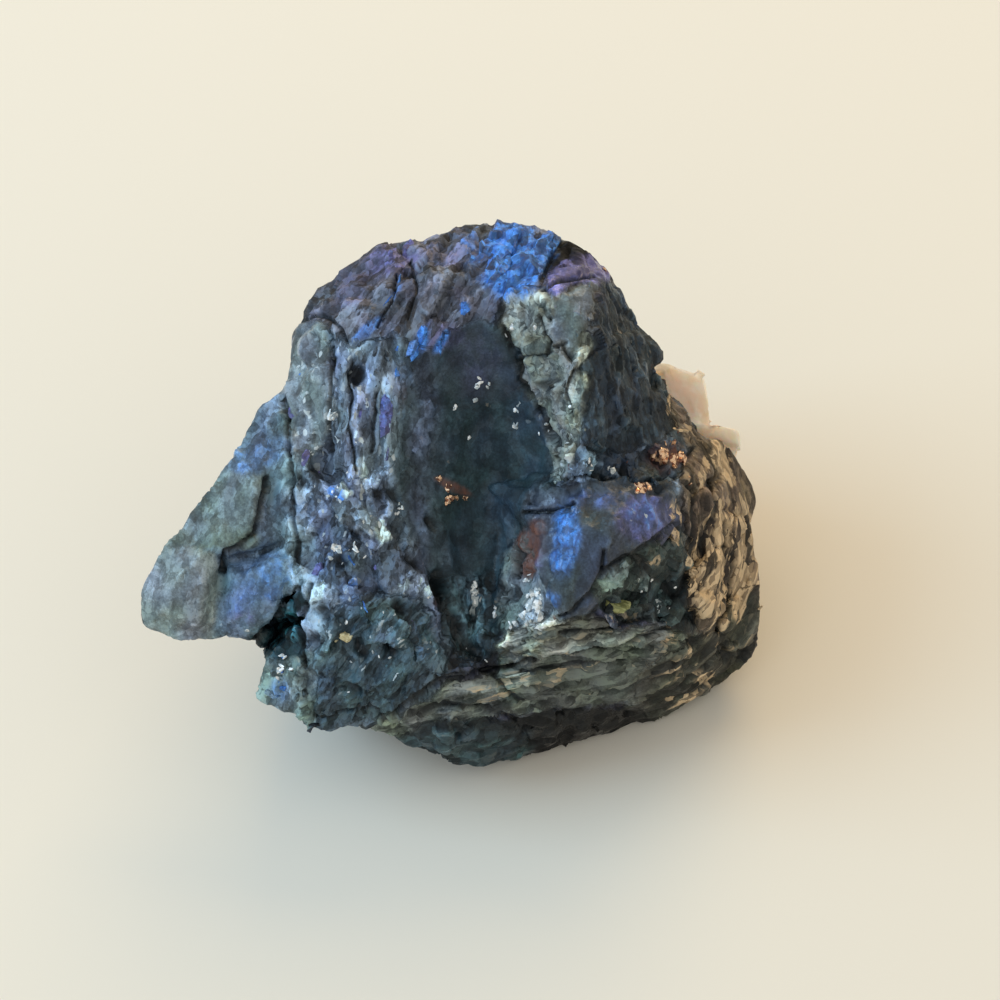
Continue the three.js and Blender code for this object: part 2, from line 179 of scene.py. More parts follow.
def distance_from(places: np.ndarray, spot: Place) -> np.ndarray:
    """How far places lie from a spot on the face."""
    return np.hypot(places[:, 0] - spot[0], places[:, 1] - spot[1])


def distance_within(places: np.ndarray, path: Outline, reach: float) -> np.ndarray:
    """How far places lie from a path, for those near it.

    Args:
        places: Across and up, one place to a row.
        path: The path's corners.
        reach: How far off it matters.

    Returns:
        The distance of each place up to the reach, and the reach for every further place.
    """
    flat = places[:, :2]
    low, high = np.min(path, axis=0) - reach, np.max(path, axis=0) + reach
    near = ((flat > low) & (flat < high)).all(axis=1)
    distance = np.full(len(places), float(reach))
    distance[near] = np.minimum(distance_to_path(flat[near], path), reach)
    return distance


def depth_inside(places: np.ndarray, outline: Outline) -> np.ndarray:
    """How deep places lie inside an outline, and less than 0 outside it.

    Args:
        places: Across and up, one place to a row.
        outline: The corners of a closed outline.

    Returns:
        The depth of each place.
    """
    inside = np.zeros(len(places), dtype=bool)
    for (x0, y0), (x1, y1) in zip(outline, outline[1:] + outline[:1]):
        if y0 != y1:
            passes = (y0 > places[:, 1]) != (y1 > places[:, 1])
            crossing = x0 + (places[:, 1] - y0) / (y1 - y0) * (x1 - x0)
            inside ^= passes & (places[:, 0] < crossing)
    distance = distance_to_path(places, outline, closed=True)
    return np.where(inside, distance, -distance)


def turned(places: np.ndarray, degrees: float) -> np.ndarray:
    """Places measured along directions turned anticlockwise on the face.

    Args:
        places: Across, up and any further measures, one place to a row.
        degrees: How far the measuring directions turn.

    Returns:
        The new measures.
    """
    if not degrees:
        return places
    cos, sin = math.cos(math.radians(degrees)), math.sin(math.radians(degrees))
    new = places.copy()
    new[:, 0] = places[:, 0] * cos + places[:, 1] * sin
    new[:, 1] = places[:, 1] * cos - places[:, 0] * sin
    return new


def shards(point: Vector) -> Place:
    """A surface broken into tilted flat splinters, about 1 unit wide.

    Args:
        point: The place.

    Returns:
        Its height and tone.
    """
    core = noise.voronoi(point)[1][0]
    tilt = noise.cell_vector(core * SHARD_TILT_STEP) * 2 - Vector((1, 1, 1))
    tone = noise.cell(core * SHARD_TONE_STEP)
    return (point - core).dot(tilt) * SHARD_STEEPNESS + tone - 0.5, tone


def waves(point: Vector) -> Place:
    """Soft swells, about 1 unit wide: their height and an even tone."""
    return noise.noise(point), 0.5


def ridges(point: Vector) -> Place:
    """Sharp-crested ridges, about 1 unit apart: their height and tone."""
    height = 1 - 3 * abs(noise.noise(point))
    # Painted light and shade: the tone is lighter on the crests and darker in the troughs; on the flank
    # it also sets where tan mica shows.
    return height, 0.5 + 0.25 * height


def ledges(point: Vector) -> Place:
    """Layers 1 unit thick, each proud at its lower lip and receding upwards.

    Args:
        point: The place.

    Returns:
        Its height and tone.
    """
    level = point.y + LEDGE_SWAY * noise.noise(Vector((point.x, point.y * LEDGE_SWAY_RUN, point.z)))
    below = math.floor(level)
    tone = noise.cell(Vector((point.x * LEDGE_BREAKS, below, LEDGE_ROW)))
    return 1 - 2 * (level - below), tone


class Form(Enum):
    """The ways in which broken schorl stands out of its surface."""

    SHARDS = "shards"
    WAVES = "waves"
    RIDGES = "ridges"
    LEDGES = "ledges"

    def shape(self) -> Callable[[Vector], Place]:
        """The function that gives this form's height, from about -1 to 1, and tone, from 0 to 1."""
        return {Form.SHARDS: shards, Form.WAVES: waves, Form.RIDGES: ridges, Form.LEDGES: ledges}[self]


@dataclass(frozen=True)
class Layer:
    """One kind of relief: its form, height, size across, up and out, and its turn in degrees."""

    form: Form
    height: float
    size: Triple
    turn: float = 0.0

    def heights_and_tones(self, places: np.ndarray) -> tuple[np.ndarray, np.ndarray]:
        """Reads the layer's relief.

        Args:
            places: Across, up and out, one place to a row.

        Returns:
            How far each place stands out, in millimetres, and how light it is, from 0 to 1.
        """
        scaled = turned(places, self.turn) / np.array(self.size)
        shape = self.form.shape()
        heights, tones = np.array([shape(Vector(point)) for point in scaled]).T
        return self.height * heights, tones


def swells(places: np.ndarray, size: Triple, height: float = 1.0) -> np.ndarray:
    """The height of soft swells, of that size across, up and out, at each place."""
    return Layer(Form.WAVES, height, size).heights_and_tones(places)[0]


@dataclass(frozen=True)
class Zone:
    """A stretch of the broken face with its own rock colour, roughness, grain and relief."""

    outline: Outline
    rock: Triple
    roughness: float
    grain: float
    layers: tuple[Layer, ...]
    blend: float = 0.5
    contrast: float = 1.0
    packing: Triple = (1.0, 0.7, 1.0)
    turn: float = 0.0
    hub: Place | None = None

    def bent(self, places: np.ndarray) -> np.ndarray:
        """Bends places around the zone's hub, where it has one.

        Args:
            places: Across, up and out, one place to a row.

        Returns:
            The places as they are, or the reach from the hub, the way round it and out.
        """
        if self.hub is None:
            return places
        arm = places[:, :2] - np.array(self.hub)
        way_round = np.arctan2(arm[:, 1], arm[:, 0]) * HUB_REACH
        return np.column_stack((np.hypot(arm[:, 0], arm[:, 1]), way_round, places[:, 2]))

    def lean_at(self, spot: Place) -> float:
        """How far the layers lean over at a spot.

        Args:
            spot: Across and up.

        Returns:
            The lean in degrees.
        """
        if self.hub is None:
            return 0.0
        return math.degrees(math.atan2(spot[1] - self.hub[1], spot[0] - self.hub[0]))

    def lay(self, places: np.ndarray) -> np.ndarray:
        """Places as the zone's grains are packed: squeezed across, up and out after a turn."""
        return turned(self.bent(places), self.turn) * np.array(self.packing)

    def relief(self, places: np.ndarray) -> tuple[np.ndarray, np.ndarray]:
        """Adds up the zone's layers.

        Args:
            places: Across, up and out, one place to a row.

        Returns:
            How far they stand out at each place, and how light they make it, about 0.5.
        """
        height, tone = np.zeros(len(places)), np.full(len(places), 0.5)
        bent = self.bent(places)
        for weight, layer in zip(TONE_WEIGHTS, self.layers):
            heights, tones = layer.heights_and_tones(bent)
            height += heights
            tone += weight * (tones - 0.5)
        return height, np.clip(tone, 0, 1)

    def share(self, places: np.ndarray, wander: np.ndarray) -> np.ndarray:
        """How much of each place belongs to the zone.

        Args:
            places: Across, up and out, one place to a row.
            wander: How far the zone's border strays at each place.

        Returns:
            0 outside the zone, 1 inside it, and between them along its border.
        """
        margin = self.blend / 2 + BORDER_ROOM
        low, high = np.min(self.outline, axis=0) - margin, np.max(self.outline, axis=0) + margin
        near = ((places[:, :2] > low) & (places[:, :2] < high)).all(axis=1)
        share = np.zeros(len(places))
        depth = depth_inside(places[near, :2], self.outline) + wander[near]
        share[near] = smooth_step(depth, -self.blend / 2, self.blend / 2)
        return share


@dataclass(frozen=True)
class Crack:
    """A narrow groove along a path on the face; the finish also paints shade along it."""

    path: Outline
    depth: float = 0.4
    width: float = 0.16

    def nearness(self, places: np.ndarray, wander: np.ndarray) -> np.ndarray:
        """How close places lie to the groove's middle.

        Args:
            places: Across, up and out, one place to a row.
            wander: How far the groove strays at each place.

        Returns:
            1 along the middle, and 0 away from it.
        """
        strayed = places[:, :2] + CRACK_STRAY * wander[:, None]
        distance = distance_within(strayed, self.path, CRACK_WIDTHS_SEEN * self.width)
        return np.exp(-((distance / self.width) ** 4))


@dataclass(frozen=True)
class Bed:
    """A kind of splinter and how many of them stand on a zone of the face."""

    zone: str
    count: int
    length: Place
    slimness: float
    lean: float = 0.0
    stray: float = 25.0
    films: Films = ()
    tilt: float = 0.12
    proud: float = 0.08
    roughness: float = 0.0
    filming: float = 1.0


@dataclass(frozen=True)
class Flash:
    """One flat splinter that catches the light, a blue film on it partly painted reflection: its
    middle, length in millimetres, lean and film.
    """

    middle: Place
    length: float
    lean: float
    film: str
    bed: Bed


@dataclass(frozen=True)
class Stain:
    """An oval patch where a film or mineral colours the surface."""

    centre: Place
    radii: Place
    turn: float = 0.0
    strength: float = 1.0

    def share(self, places: np.ndarray) -> np.ndarray:
        """The stain's strength at each place, fading towards its edge."""
        local = turned(places[:, :2] - self.centre, self.turn) / self.radii
        return self.strength * smooth_step(np.linalg.norm(local, axis=1), *STAIN_FADE)


SHARDS, WAVES, RIDGES, LEDGES = Form.SHARDS, Form.WAVES, Form.RIDGES, Form.LEDGES

BACK = Zone(
    outline=(),
    rock=(0.030, 0.049, 0.062),
    roughness=0.42,
    grain=0.8,
    layers=(
        Layer(RIDGES, 0.10, (0.9, 7.0, 2.2), 8),
        Layer(SHARDS, 0.22, (1.8, 3.6, 1.8)),
        Layer(WAVES, 0.25, (3.5, 5.0, 3.5)),
    ),
)

COARSE_GRAINS = (Layer(SHARDS, 0.32, (2.1, 2.7, 2.1), 8), Layer(SHARDS, 0.13, (0.8, 1.0, 0.8)))
SOFT_PLATE = (Layer(WAVES, 0.12, (1.8, 2.6, 1.8)), Layer(SHARDS, 0.05, (0.8, 1.4, 0.8)))

ZONES: dict[str, Zone] = {
    "wing": Zone(
        outline=(
            (-25.8, -6.8), (-23.8, -2.7), (-18.4, 4.1), (-16.0, 8.2), (-13.9, 8.8), (-14.1, 2.0),
            (-14.0, -4.1), (-13.5, -6.1), (-16.2, -10.5), (-25.2, -10.9),
        ),
        rock=(0.142, 0.222, 0.289), roughness=0.40, grain=0.6,
        layers=(Layer(SHARDS, 0.16, (1.3, 1.6, 1.3)), Layer(WAVES, 0.16, (2.0, 2.0, 2.0))),
        contrast=0.5,
    ),
    "wing_plate": Zone(
        outline=(
            (-23.1, -3.4), (-20.4, 0.7), (-17.7, 2.2), (-16.0, 2.0), (-16.1, -0.3), (-16.6, -3.1),
            (-18.5, -3.4), (-21.1, -3.5),
        ),
        rock=(0.133, 0.180, 0.174), roughness=0.36, grain=0.35, layers=SOFT_PLATE, contrast=0.3,
    ),
    "wing_tip": Zone(
        outline=(
            (-25.8, -7.5), (-23.8, -3.1), (-21.6, -3.1), (-19.3, -3.5), (-19.0, -6.8), (-19.7, -10.5),
            (-25.2, -10.5),
        ),
        rock=(0.203, 0.251, 0.257), roughness=0.38, grain=0.35, layers=SOFT_PLATE, contrast=0.35,
    ),
    "wing_panel": Zone(
        outline=(
            (-18.8, -4.2), (-17.3, -3.8), (-13.5, -3.1), (-13.3, -5.6), (-14.8, -7.6), (-16.5, -9.0),
            (-19.4, -8.8), (-19.1, -6.1),
        ),
        rock=(0.144, 0.238, 0.323), roughness=0.32, grain=0.35,
        layers=(Layer(SHARDS, 0.12, (1.2, 1.6, 1.2)), Layer(WAVES, 0.12, (2.0, 2.0, 2.0))),
        contrast=0.5,
    ),
    "crest": Zone(
        outline=(
            (-14.6, 12.1), (-13.6, 15.0), (-10.2, 18.0), (0.0, 20.4), (4.1, 19.4), (3.3, 16.2),
            (3.4, 14.6), (0.3, 14.1), (-0.2, 12.1), (-3.3, 11.6), (-4.8, 10.1), (-6.9, 10.5),
            (-10.2, 10.1), (-12.1, 11.6),
        ),
        rock=(0.124, 0.137, 0.183), roughness=0.44, grain=0.85,
        layers=(Layer(SHARDS, 0.22, (1.1, 2.8, 1.4), -28), Layer(SHARDS, 0.09, (0.5, 1.4, 0.7), -28)),
        packing=(1.0, 0.42, 0.9), turn=-28, contrast=0.58,
    ),
    "granular_strip": Zone(
        outline=(
            (-14.6, 12.2), (-11.6, 11.6), (-10.2, 10.5), (-7.1, 11.6), (-6.5, 6.8), (-6.9, 2.0),
            (-5.4, -4.1), (-4.1, -7.5), (-3.4, -10.9), (-4.8, -13.3), (-6.8, -14.8), (-12.2, -16.0),
            (-13.9, -13.9), (-14.3, -6.8), (-14.4, 0.0), (-14.6, 6.8),
        ),
        rock=(0.306, 0.422, 0.589), roughness=0.40, grain=0.9, layers=COARSE_GRAINS,
    ),
    "granular_foot": Zone(
        outline=(
            (-13.6, -9.5), (-11.6, -7.5), (-8.2, -6.1), (-5.4, -6.8), (-4.1, -8.5), (-3.4, -10.9),
            (-4.8, -13.3), (-6.8, -14.8), (-12.2, -16.0), (-13.7, -13.9), (-13.9, -11.6),
        ),
        rock=(0.066, 0.119, 0.148), roughness=0.38, grain=0.75,
        layers=(Layer(SHARDS, 0.30, (1.4, 2.8, 1.6), -32), Layer(SHARDS, 0.12, (0.6, 1.3, 0.7), -32)),
        blend=1.6, packing=(1.35, 0.55, 1.0), turn=-32, contrast=0.5,
    ),
    "strip_edge": Zone(
        outline=(
            (-14.8, 3.1), (-13.6, 3.1), (-13.1, 0.0), (-12.4, -4.1), (-11.8, -9.5), (-13.3, -10.5),
            (-13.3, -6.1), (-14.3, -4.1), (-14.6, 0.0),
        ),
        rock=(0.301, 0.429, 0.518), roughness=0.45, grain=0.8, layers=COARSE_GRAINS, blend=1.0,
        contrast=0.65,
    ),
    "columns": Zone(
        outline=(
            (-11.8, 11.4), (-10.2, 10.5), (-7.1, 11.4), (-6.5, 6.8), (-6.8, 2.6), (-9.5, 1.4),
            (-11.7, 2.0), (-12.2, 4.1), (-11.3, 7.1),
        ),
        rock=(0.340, 0.456, 0.617), roughness=0.42, grain=0.8,
        layers=(Layer(SHARDS, 0.22, (1.2, 4.0, 1.4), -3), Layer(SHARDS, 0.10, (0.7, 1.6, 0.8), -3)),
        packing=(1.15, 0.42, 1.0), turn=-3, contrast=0.85,
    ),
    "green_strip": Zone(
        outline=(
            (-15.0, 10.5), (-14.3, 12.4), (-11.9, 11.9), (-11.3, 7.1), (-11.8, 4.1), (-13.6, 2.0),
            (-14.6, 4.1), (-14.8, 6.8),
        ),
        rock=(0.179, 0.228, 0.243), roughness=0.36, grain=0.45,
        layers=(Layer(WAVES, 0.16, (1.4, 2.2, 1.4)), Layer(SHARDS, 0.12, (0.9, 1.4, 0.9))),
        contrast=0.5,
    ),
    "left_lobe": Zone(
        outline=(
            (-17.3, -10.2), (-16.2, -9.5), (-12.8, -10.5), (-12.4, -16.7), (-13.6, -16.7),
            (-17.3, -13.6),
        ),
        rock=(0.229, 0.328, 0.330), roughness=0.40, grain=0.75, layers=COARSE_GRAINS, contrast=0.6,
    ),
    # Painted shade: a darker zone where shade falls in the gap between the wing and the left lobe.
    "gap": Zone(
        outline=(
            (-13.5, -5.6), (-13.2, -10.2), (-14.3, -10.7), (-16.2, -10.7), (-17.4, -9.5), (-15.5, -8.2),
            (-14.3, -6.8),
        ),
        rock=(0.020, 0.090, 0.120), roughness=0.5, grain=0.7,
        layers=(Layer(SHARDS, 0.16, (1.2, 1.6, 1.2)), Layer(SHARDS, 0.08, (0.5, 0.6, 0.5))), blend=0.4,
    ),
    "hollow": Zone(
        outline=(
            (-3.3, 11.2), (-1.5, 12.1), (-0.1, 11.6), (0.5, 10.1), (1.4, 7.8), (2.0, 6.9), (3.1, 5.4),
            (3.4, 3.7), (3.8, 2.0), (2.7, 1.0), (1.8, 0.0), (1.0, -2.0), (0.0, -4.1), (-0.4, -5.8),
            (-1.5, -6.5), (-2.6, -6.3), (-3.5, -6.7), (-4.2, -5.8), (-5.1, -4.1), (-6.5, -1.4),
            (-7.1, 2.0), (-6.8, 4.8), (-6.1, 7.5), (-4.6, 9.9),
        ),
        rock=(0.023, 0.048, 0.064), roughness=0.62, grain=0.16,
        layers=(Layer(WAVES, 0.22, (3.0, 3.6, 3.0)), Layer(SHARDS, 0.05, (1.1, 1.1, 1.1))), blend=1.2,
        contrast=0.35,
    ),
    "hollow_foot": Zone(
        outline=(
            (-4.8, -4.9), (-3.7, -5.3), (-2.6, -4.9), (-1.4, -5.3), (0.0, -4.5), (0.3, -6.8),
            (0.0, -9.5), (-1.4, -11.2), (-2.7, -10.7), (-3.8, -8.7),
        ),
        rock=(0.065, 0.123, 0.157), roughness=0.42, grain=0.8,
        layers=(Layer(SHARDS, 0.30, (1.2, 2.4, 1.4), 4), Layer(SHARDS, 0.13, (0.5, 1.0, 0.6), 4)),
        blend=1.2, packing=(1.3, 0.6, 1.0), contrast=1.0,
    ),
    "hollow_roof": Zone(
        outline=(
            (-3.5, 10.9), (-1.5, 12.0), (0.0, 11.3), (0.8, 9.5), (1.4, 7.8), (0.3, 6.8), (-1.4, 6.7),
            (-3.4, 7.1), (-4.4, 8.2),
        ),
        rock=(0.026, 0.043, 0.061), roughness=0.6, grain=0.12,
        layers=(Layer(WAVES, 0.10, (2.0, 2.0, 2.0)),), blend=0.5, contrast=0.3,
    ),
    "hollow_left": Zone(
        outline=(
            (-7.1, 10.9), (-4.8, 10.2), (-4.2, 8.2), (-4.1, 5.4), (-4.5, 2.0), (-4.6, -1.4),
            (-3.9, -4.4), (-5.1, -4.4), (-6.5, -1.4), (-7.1, 2.0), (-6.8, 4.8), (-6.7, 7.5),
        ),
        rock=(0.068, 0.100, 0.139), roughness=0.5, grain=0.4,
        layers=(Layer(SHARDS, 0.16, (1.3, 1.8, 1.3)), Layer(SHARDS, 0.08, (0.6, 0.7, 0.6))), blend=2.6,
        contrast=0.5,
    ),
    "rib": Zone(
        outline=(
            (0.3, 13.9), (1.4, 14.6), (3.1, 14.3), (3.6, 13.6), (5.1, 14.6), (6.8, 14.8), (6.3, 12.2),
            (6.8, 10.5), (6.1, 10.1), (5.2, 8.8), (5.8, 8.6), (6.1, 7.9), (5.7, 6.8), (5.4, 4.1),
            (5.1, 2.6), (4.4, 1.0), (3.8, 1.5), (3.4, 4.1), (2.9, 5.8), (2.0, 7.1), (1.4, 8.5),
            (1.5, 10.2), (0.5, 11.2), (0.0, 11.9),
        ),
        rock=(0.355, 0.405, 0.366), roughness=0.40, grain=0.9,
        layers=(Layer(SHARDS, 0.40, (2.2, 3.4, 2.0), -15), Layer(SHARDS, 0.18, (0.8, 1.4, 0.8), -15)),
        contrast=0.6,
    ),
    "rib_panel": Zone(
        outline=(
            (3.7, 13.6), (5.1, 14.6), (6.7, 14.7), (6.1, 12.4), (5.4, 10.5), (3.8, 10.9), (3.4, 11.9),
        ),
        rock=(0.137, 0.182, 0.200), roughness=0.40, grain=0.25,
        layers=(Layer(WAVES, 0.10, (1.2, 2.6, 1.2)), Layer(SHARDS, 0.05, (0.7, 1.4, 0.7))),
        contrast=0.3,
    ),
    # Painted shade: a facet painted near-black, darker than the schorl around it, for how little light
    # comes back from it.
    "dark_triangle": Zone(
        outline=(
            (2.9, 15.4), (3.5, 16.5), (4.3, 17.6), (4.9, 18.2), (7.3, 16.2), (6.7, 15.9), (4.8, 15.8),
        ),
        rock=(0.003, 0.004, 0.008), roughness=0.8, grain=0.7,
        layers=(Layer(SHARDS, 0.14, (1.2, 1.6, 1.2)),), blend=0.3,
    ),
    "violet_strip": Zone(
        outline=(
            (3.1, 14.3), (3.3, 15.2), (4.8, 15.8), (6.7, 16.0), (8.0, 15.5), (7.1, 14.7), (5.1, 14.6),
            (3.8, 13.9),
        ),
        rock=(0.140, 0.153, 0.427), roughness=0.34, grain=0.35,
        layers=(Layer(SHARDS, 0.10, (0.8, 1.2, 0.8)),), blend=0.35, contrast=0.6,
    ),
    "right_facet": Zone(
        outline=(
            (6.9, 14.8), (8.5, 14.3), (10.9, 11.6), (11.9, 9.5), (10.5, 8.5), (11.4, 8.0), (11.7, 4.8),
            (10.3, 3.4), (8.2, 3.1), (6.8, 2.6), (5.7, 4.1), (5.8, 6.8), (6.3, 8.5), (5.4, 9.0),
            (6.8, 10.3), (6.3, 12.1),
        ),
        rock=(0.030, 0.053, 0.079), roughness=0.54, grain=0.6,
        layers=(Layer(SHARDS, 0.16, (1.6, 2.8, 1.6), 12), Layer(SHARDS, 0.08, (0.5, 1.3, 0.7), 12)),
        packing=(1.6, 0.7, 1.2), turn=10, contrast=0.7,
    ),
    "lump": Zone(
        outline=(
            (1.8, 0.0), (3.1, 0.7), (6.8, 1.5), (9.5, 1.2), (12.4, 0.5), (11.8, -2.0), (9.5, -3.5),
            (7.2, -5.3), (6.1, -7.6), (4.1, -8.3), (3.1, -6.8), (2.0, -4.1), (1.7, -2.0),
        ),
        rock=(0.056, 0.078, 0.100), roughness=0.33, grain=0.3,
        layers=(Layer(WAVES, 0.16, (1.6, 2.4, 1.6)), Layer(SHARDS, 0.10, (0.9, 1.3, 0.9), 20)),
        blend=0.35, contrast=0.5,
    ),
    "lump_grey": Zone(
        outline=(
            (5.4, -2.0), (6.5, -1.7), (7.3, -2.7), (7.3, -4.9), (6.3, -7.2), (5.1, -7.6), (5.3, -4.8),
        ),
        rock=(0.046, 0.067, 0.112), roughness=0.4, grain=0.2,
        layers=(Layer(WAVES, 0.10, (1.4, 2.0, 1.4)),), blend=0.4, contrast=0.4,
    ),
    "lump_foot": Zone(
        outline=(
            (0.5, -4.1), (1.9, -2.4), (3.1, -6.8), (4.1, -8.3), (3.3, -9.4), (0.3, -9.5), (-0.3, -7.5),
        ),
        rock=(0.577, 0.767, 0.800), roughness=0.30, grain=0.85, layers=COARSE_GRAINS,
    ),
    "cavity": Zone(
        outline=(
            (6.3, -6.1), (7.2, -5.1), (9.5, -3.5), (12.0, -1.9), (13.2, -3.5), (13.3, -6.3),
            (11.7, -8.0), (8.3, -8.4), (6.7, -7.2),
        ),
        rock=(0.115, 0.170, 0.158), roughness=0.40, grain=0.8,
        layers=(Layer(SHARDS, 0.28, (1.4, 1.8, 1.4)), Layer(SHARDS, 0.10, (0.7, 0.9, 0.7))),
        contrast=0.9,
    ),
    "cavity_dark": Zone(
        outline=(
            (9.1, -6.7), (9.9, -5.0), (11.6, -4.1), (13.1, -4.2), (13.1, -6.7), (11.7, -7.9),
            (9.9, -7.6),
        ),
        rock=(0.038, 0.070, 0.079), roughness=0.5, grain=0.5,
        layers=(Layer(SHARDS, 0.20, (1.4, 1.8, 1.4)),), blend=0.8,
    ),
    "between": Zone(
        outline=(
            (5.4, 3.3), (8.2, 3.3), (10.5, 3.7), (12.0, 4.8), (12.9, 3.4), (12.5, 0.3), (9.5, 1.1),
            (6.8, 1.5), (4.1, 0.8),
        ),
        rock=(0.127, 0.200, 0.282), roughness=0.36, grain=0.85, layers=COARSE_GRAINS,
    ),
    "ledges": Zone(
        outline=(
            (-4.8, -13.6), (-3.4, -12.6), (0.0, -11.6), (-0.3, -9.7), (3.1, -8.7), (6.8, -8.8),
            (10.9, -8.5), (13.6, -9.5), (18.0, -9.5), (18.0, -11.2), (15.0, -12.9), (12.9, -13.6),
            (9.5, -13.6), (4.1, -13.9), (0.0, -14.6), (-2.0, -15.1), (-5.4, -15.8), (-8.2, -16.5),
            (-12.2, -16.3), (-7.1, -14.4),
        ),
        rock=(0.237, 0.281, 0.243), roughness=0.42, grain=0.7,
        layers=(
            Layer(LEDGES, 0.30, (4.5, 0.85, 3.0), 9),
            Layer(SHARDS, 0.12, (3.2, 0.5, 1.2), 9),
        ),
        contrast=0.75, packing=(0.26, 1.5, 0.8), turn=9,
    ),
    "ledge_top": Zone(
        outline=(
            (-0.2, -9.9), (0.5, -8.7), (3.1, -8.2), (7.1, -8.2), (7.6, -9.1), (4.1, -9.9), (0.7, -10.6),
        ),
        rock=(0.447, 0.483, 0.389), roughness=0.46, grain=0.7,
        layers=(Layer(LEDGES, 0.26, (3.6, 0.9, 3.0), 9), Layer(SHARDS, 0.14, (2.4, 0.6, 1.2), 9)),
        packing=(0.32, 1.3, 0.8), turn=9,
    ),
    "base_band": Zone(
        outline=(
            (-8.2, -16.7), (-4.8, -15.2), (0.0, -14.9), (4.1, -14.0), (9.5, -13.7), (13.6, -13.4),
            (17.7, -11.2), (17.7, -13.6), (9.5, -17.7), (4.1, -19.7), (-4.1, -19.7), (-6.8, -18.4),
        ),
        rock=(0.002, 0.002, 0.002), roughness=0.45, grain=0.6,
        layers=(Layer(SHARDS, 0.16, (1.4, 0.9, 1.0), 10), Layer(WAVES, 0.14, (2.0, 1.2, 2.0), 10)),
        blend=0.8, packing=(0.5, 1.1, 0.8), turn=12,
    ),
    "base_dark": Zone(
        outline=(
            (-7.8, -16.0), (-4.8, -15.1), (-1.4, -14.8), (1.4, -15.5), (2.2, -17.4), (0.7, -20.1),
            (-4.1, -20.1), (-7.1, -18.5),
        ),
        rock=(0.027, 0.055, 0.065), roughness=0.45, grain=0.5,
        layers=(Layer(SHARDS, 0.18, (1.4, 1.1, 1.0), 10), Layer(WAVES, 0.14, (2.0, 1.2, 2.0), 10)),
        blend=1.6, packing=(0.6, 0.9, 0.8), turn=12,
    ),
    "flank": Zone(
        outline=(
            (11.6, 7.8), (13.6, 6.8), (16.0, 4.8), (18.4, 1.4), (18.7, -6.8), (18.4, -9.9),
            (15.0, -11.0), (13.6, -9.7), (12.9, -6.8), (12.9, -2.7), (12.1, 0.0), (12.2, 2.0),
            (12.9, 3.4), (12.0, 5.1),
        ),
        rock=(0.130, 0.098, 0.068), roughness=0.42, grain=0.8,
        layers=(
            Layer(RIDGES, 0.20, (0.75, 8.0, 4.0)),
            Layer(SHARDS, 0.11, (0.5, 3.6, 1.2)),
        ),
        packing=(1.5, 0.3, 0.8), turn=0,
        hub=(6.8, -2.0),
        contrast=0.8,
    ),
    "corner": Zone(
        outline=(
            (8.8, -13.6), (9.5, -11.2), (12.9, -9.5), (14.6, -8.5), (16.3, -6.1), (18.7, -5.4),
            (18.7, -11.6), (16.3, -13.9), (13.6, -14.7), (10.2, -14.7),
        ),
        rock=(0.064, 0.068, 0.052), roughness=0.42, grain=0.7,
        layers=(
            Layer(RIDGES, 0.12, (0.7, 5.0, 2.0)),
            Layer(SHARDS, 0.20, (0.9, 2.4, 1.2)),
        ),
        blend=1.6, contrast=0.8, packing=(1.35, 0.4, 0.8),
        hub=(6.8, -2.0),
    ),
}

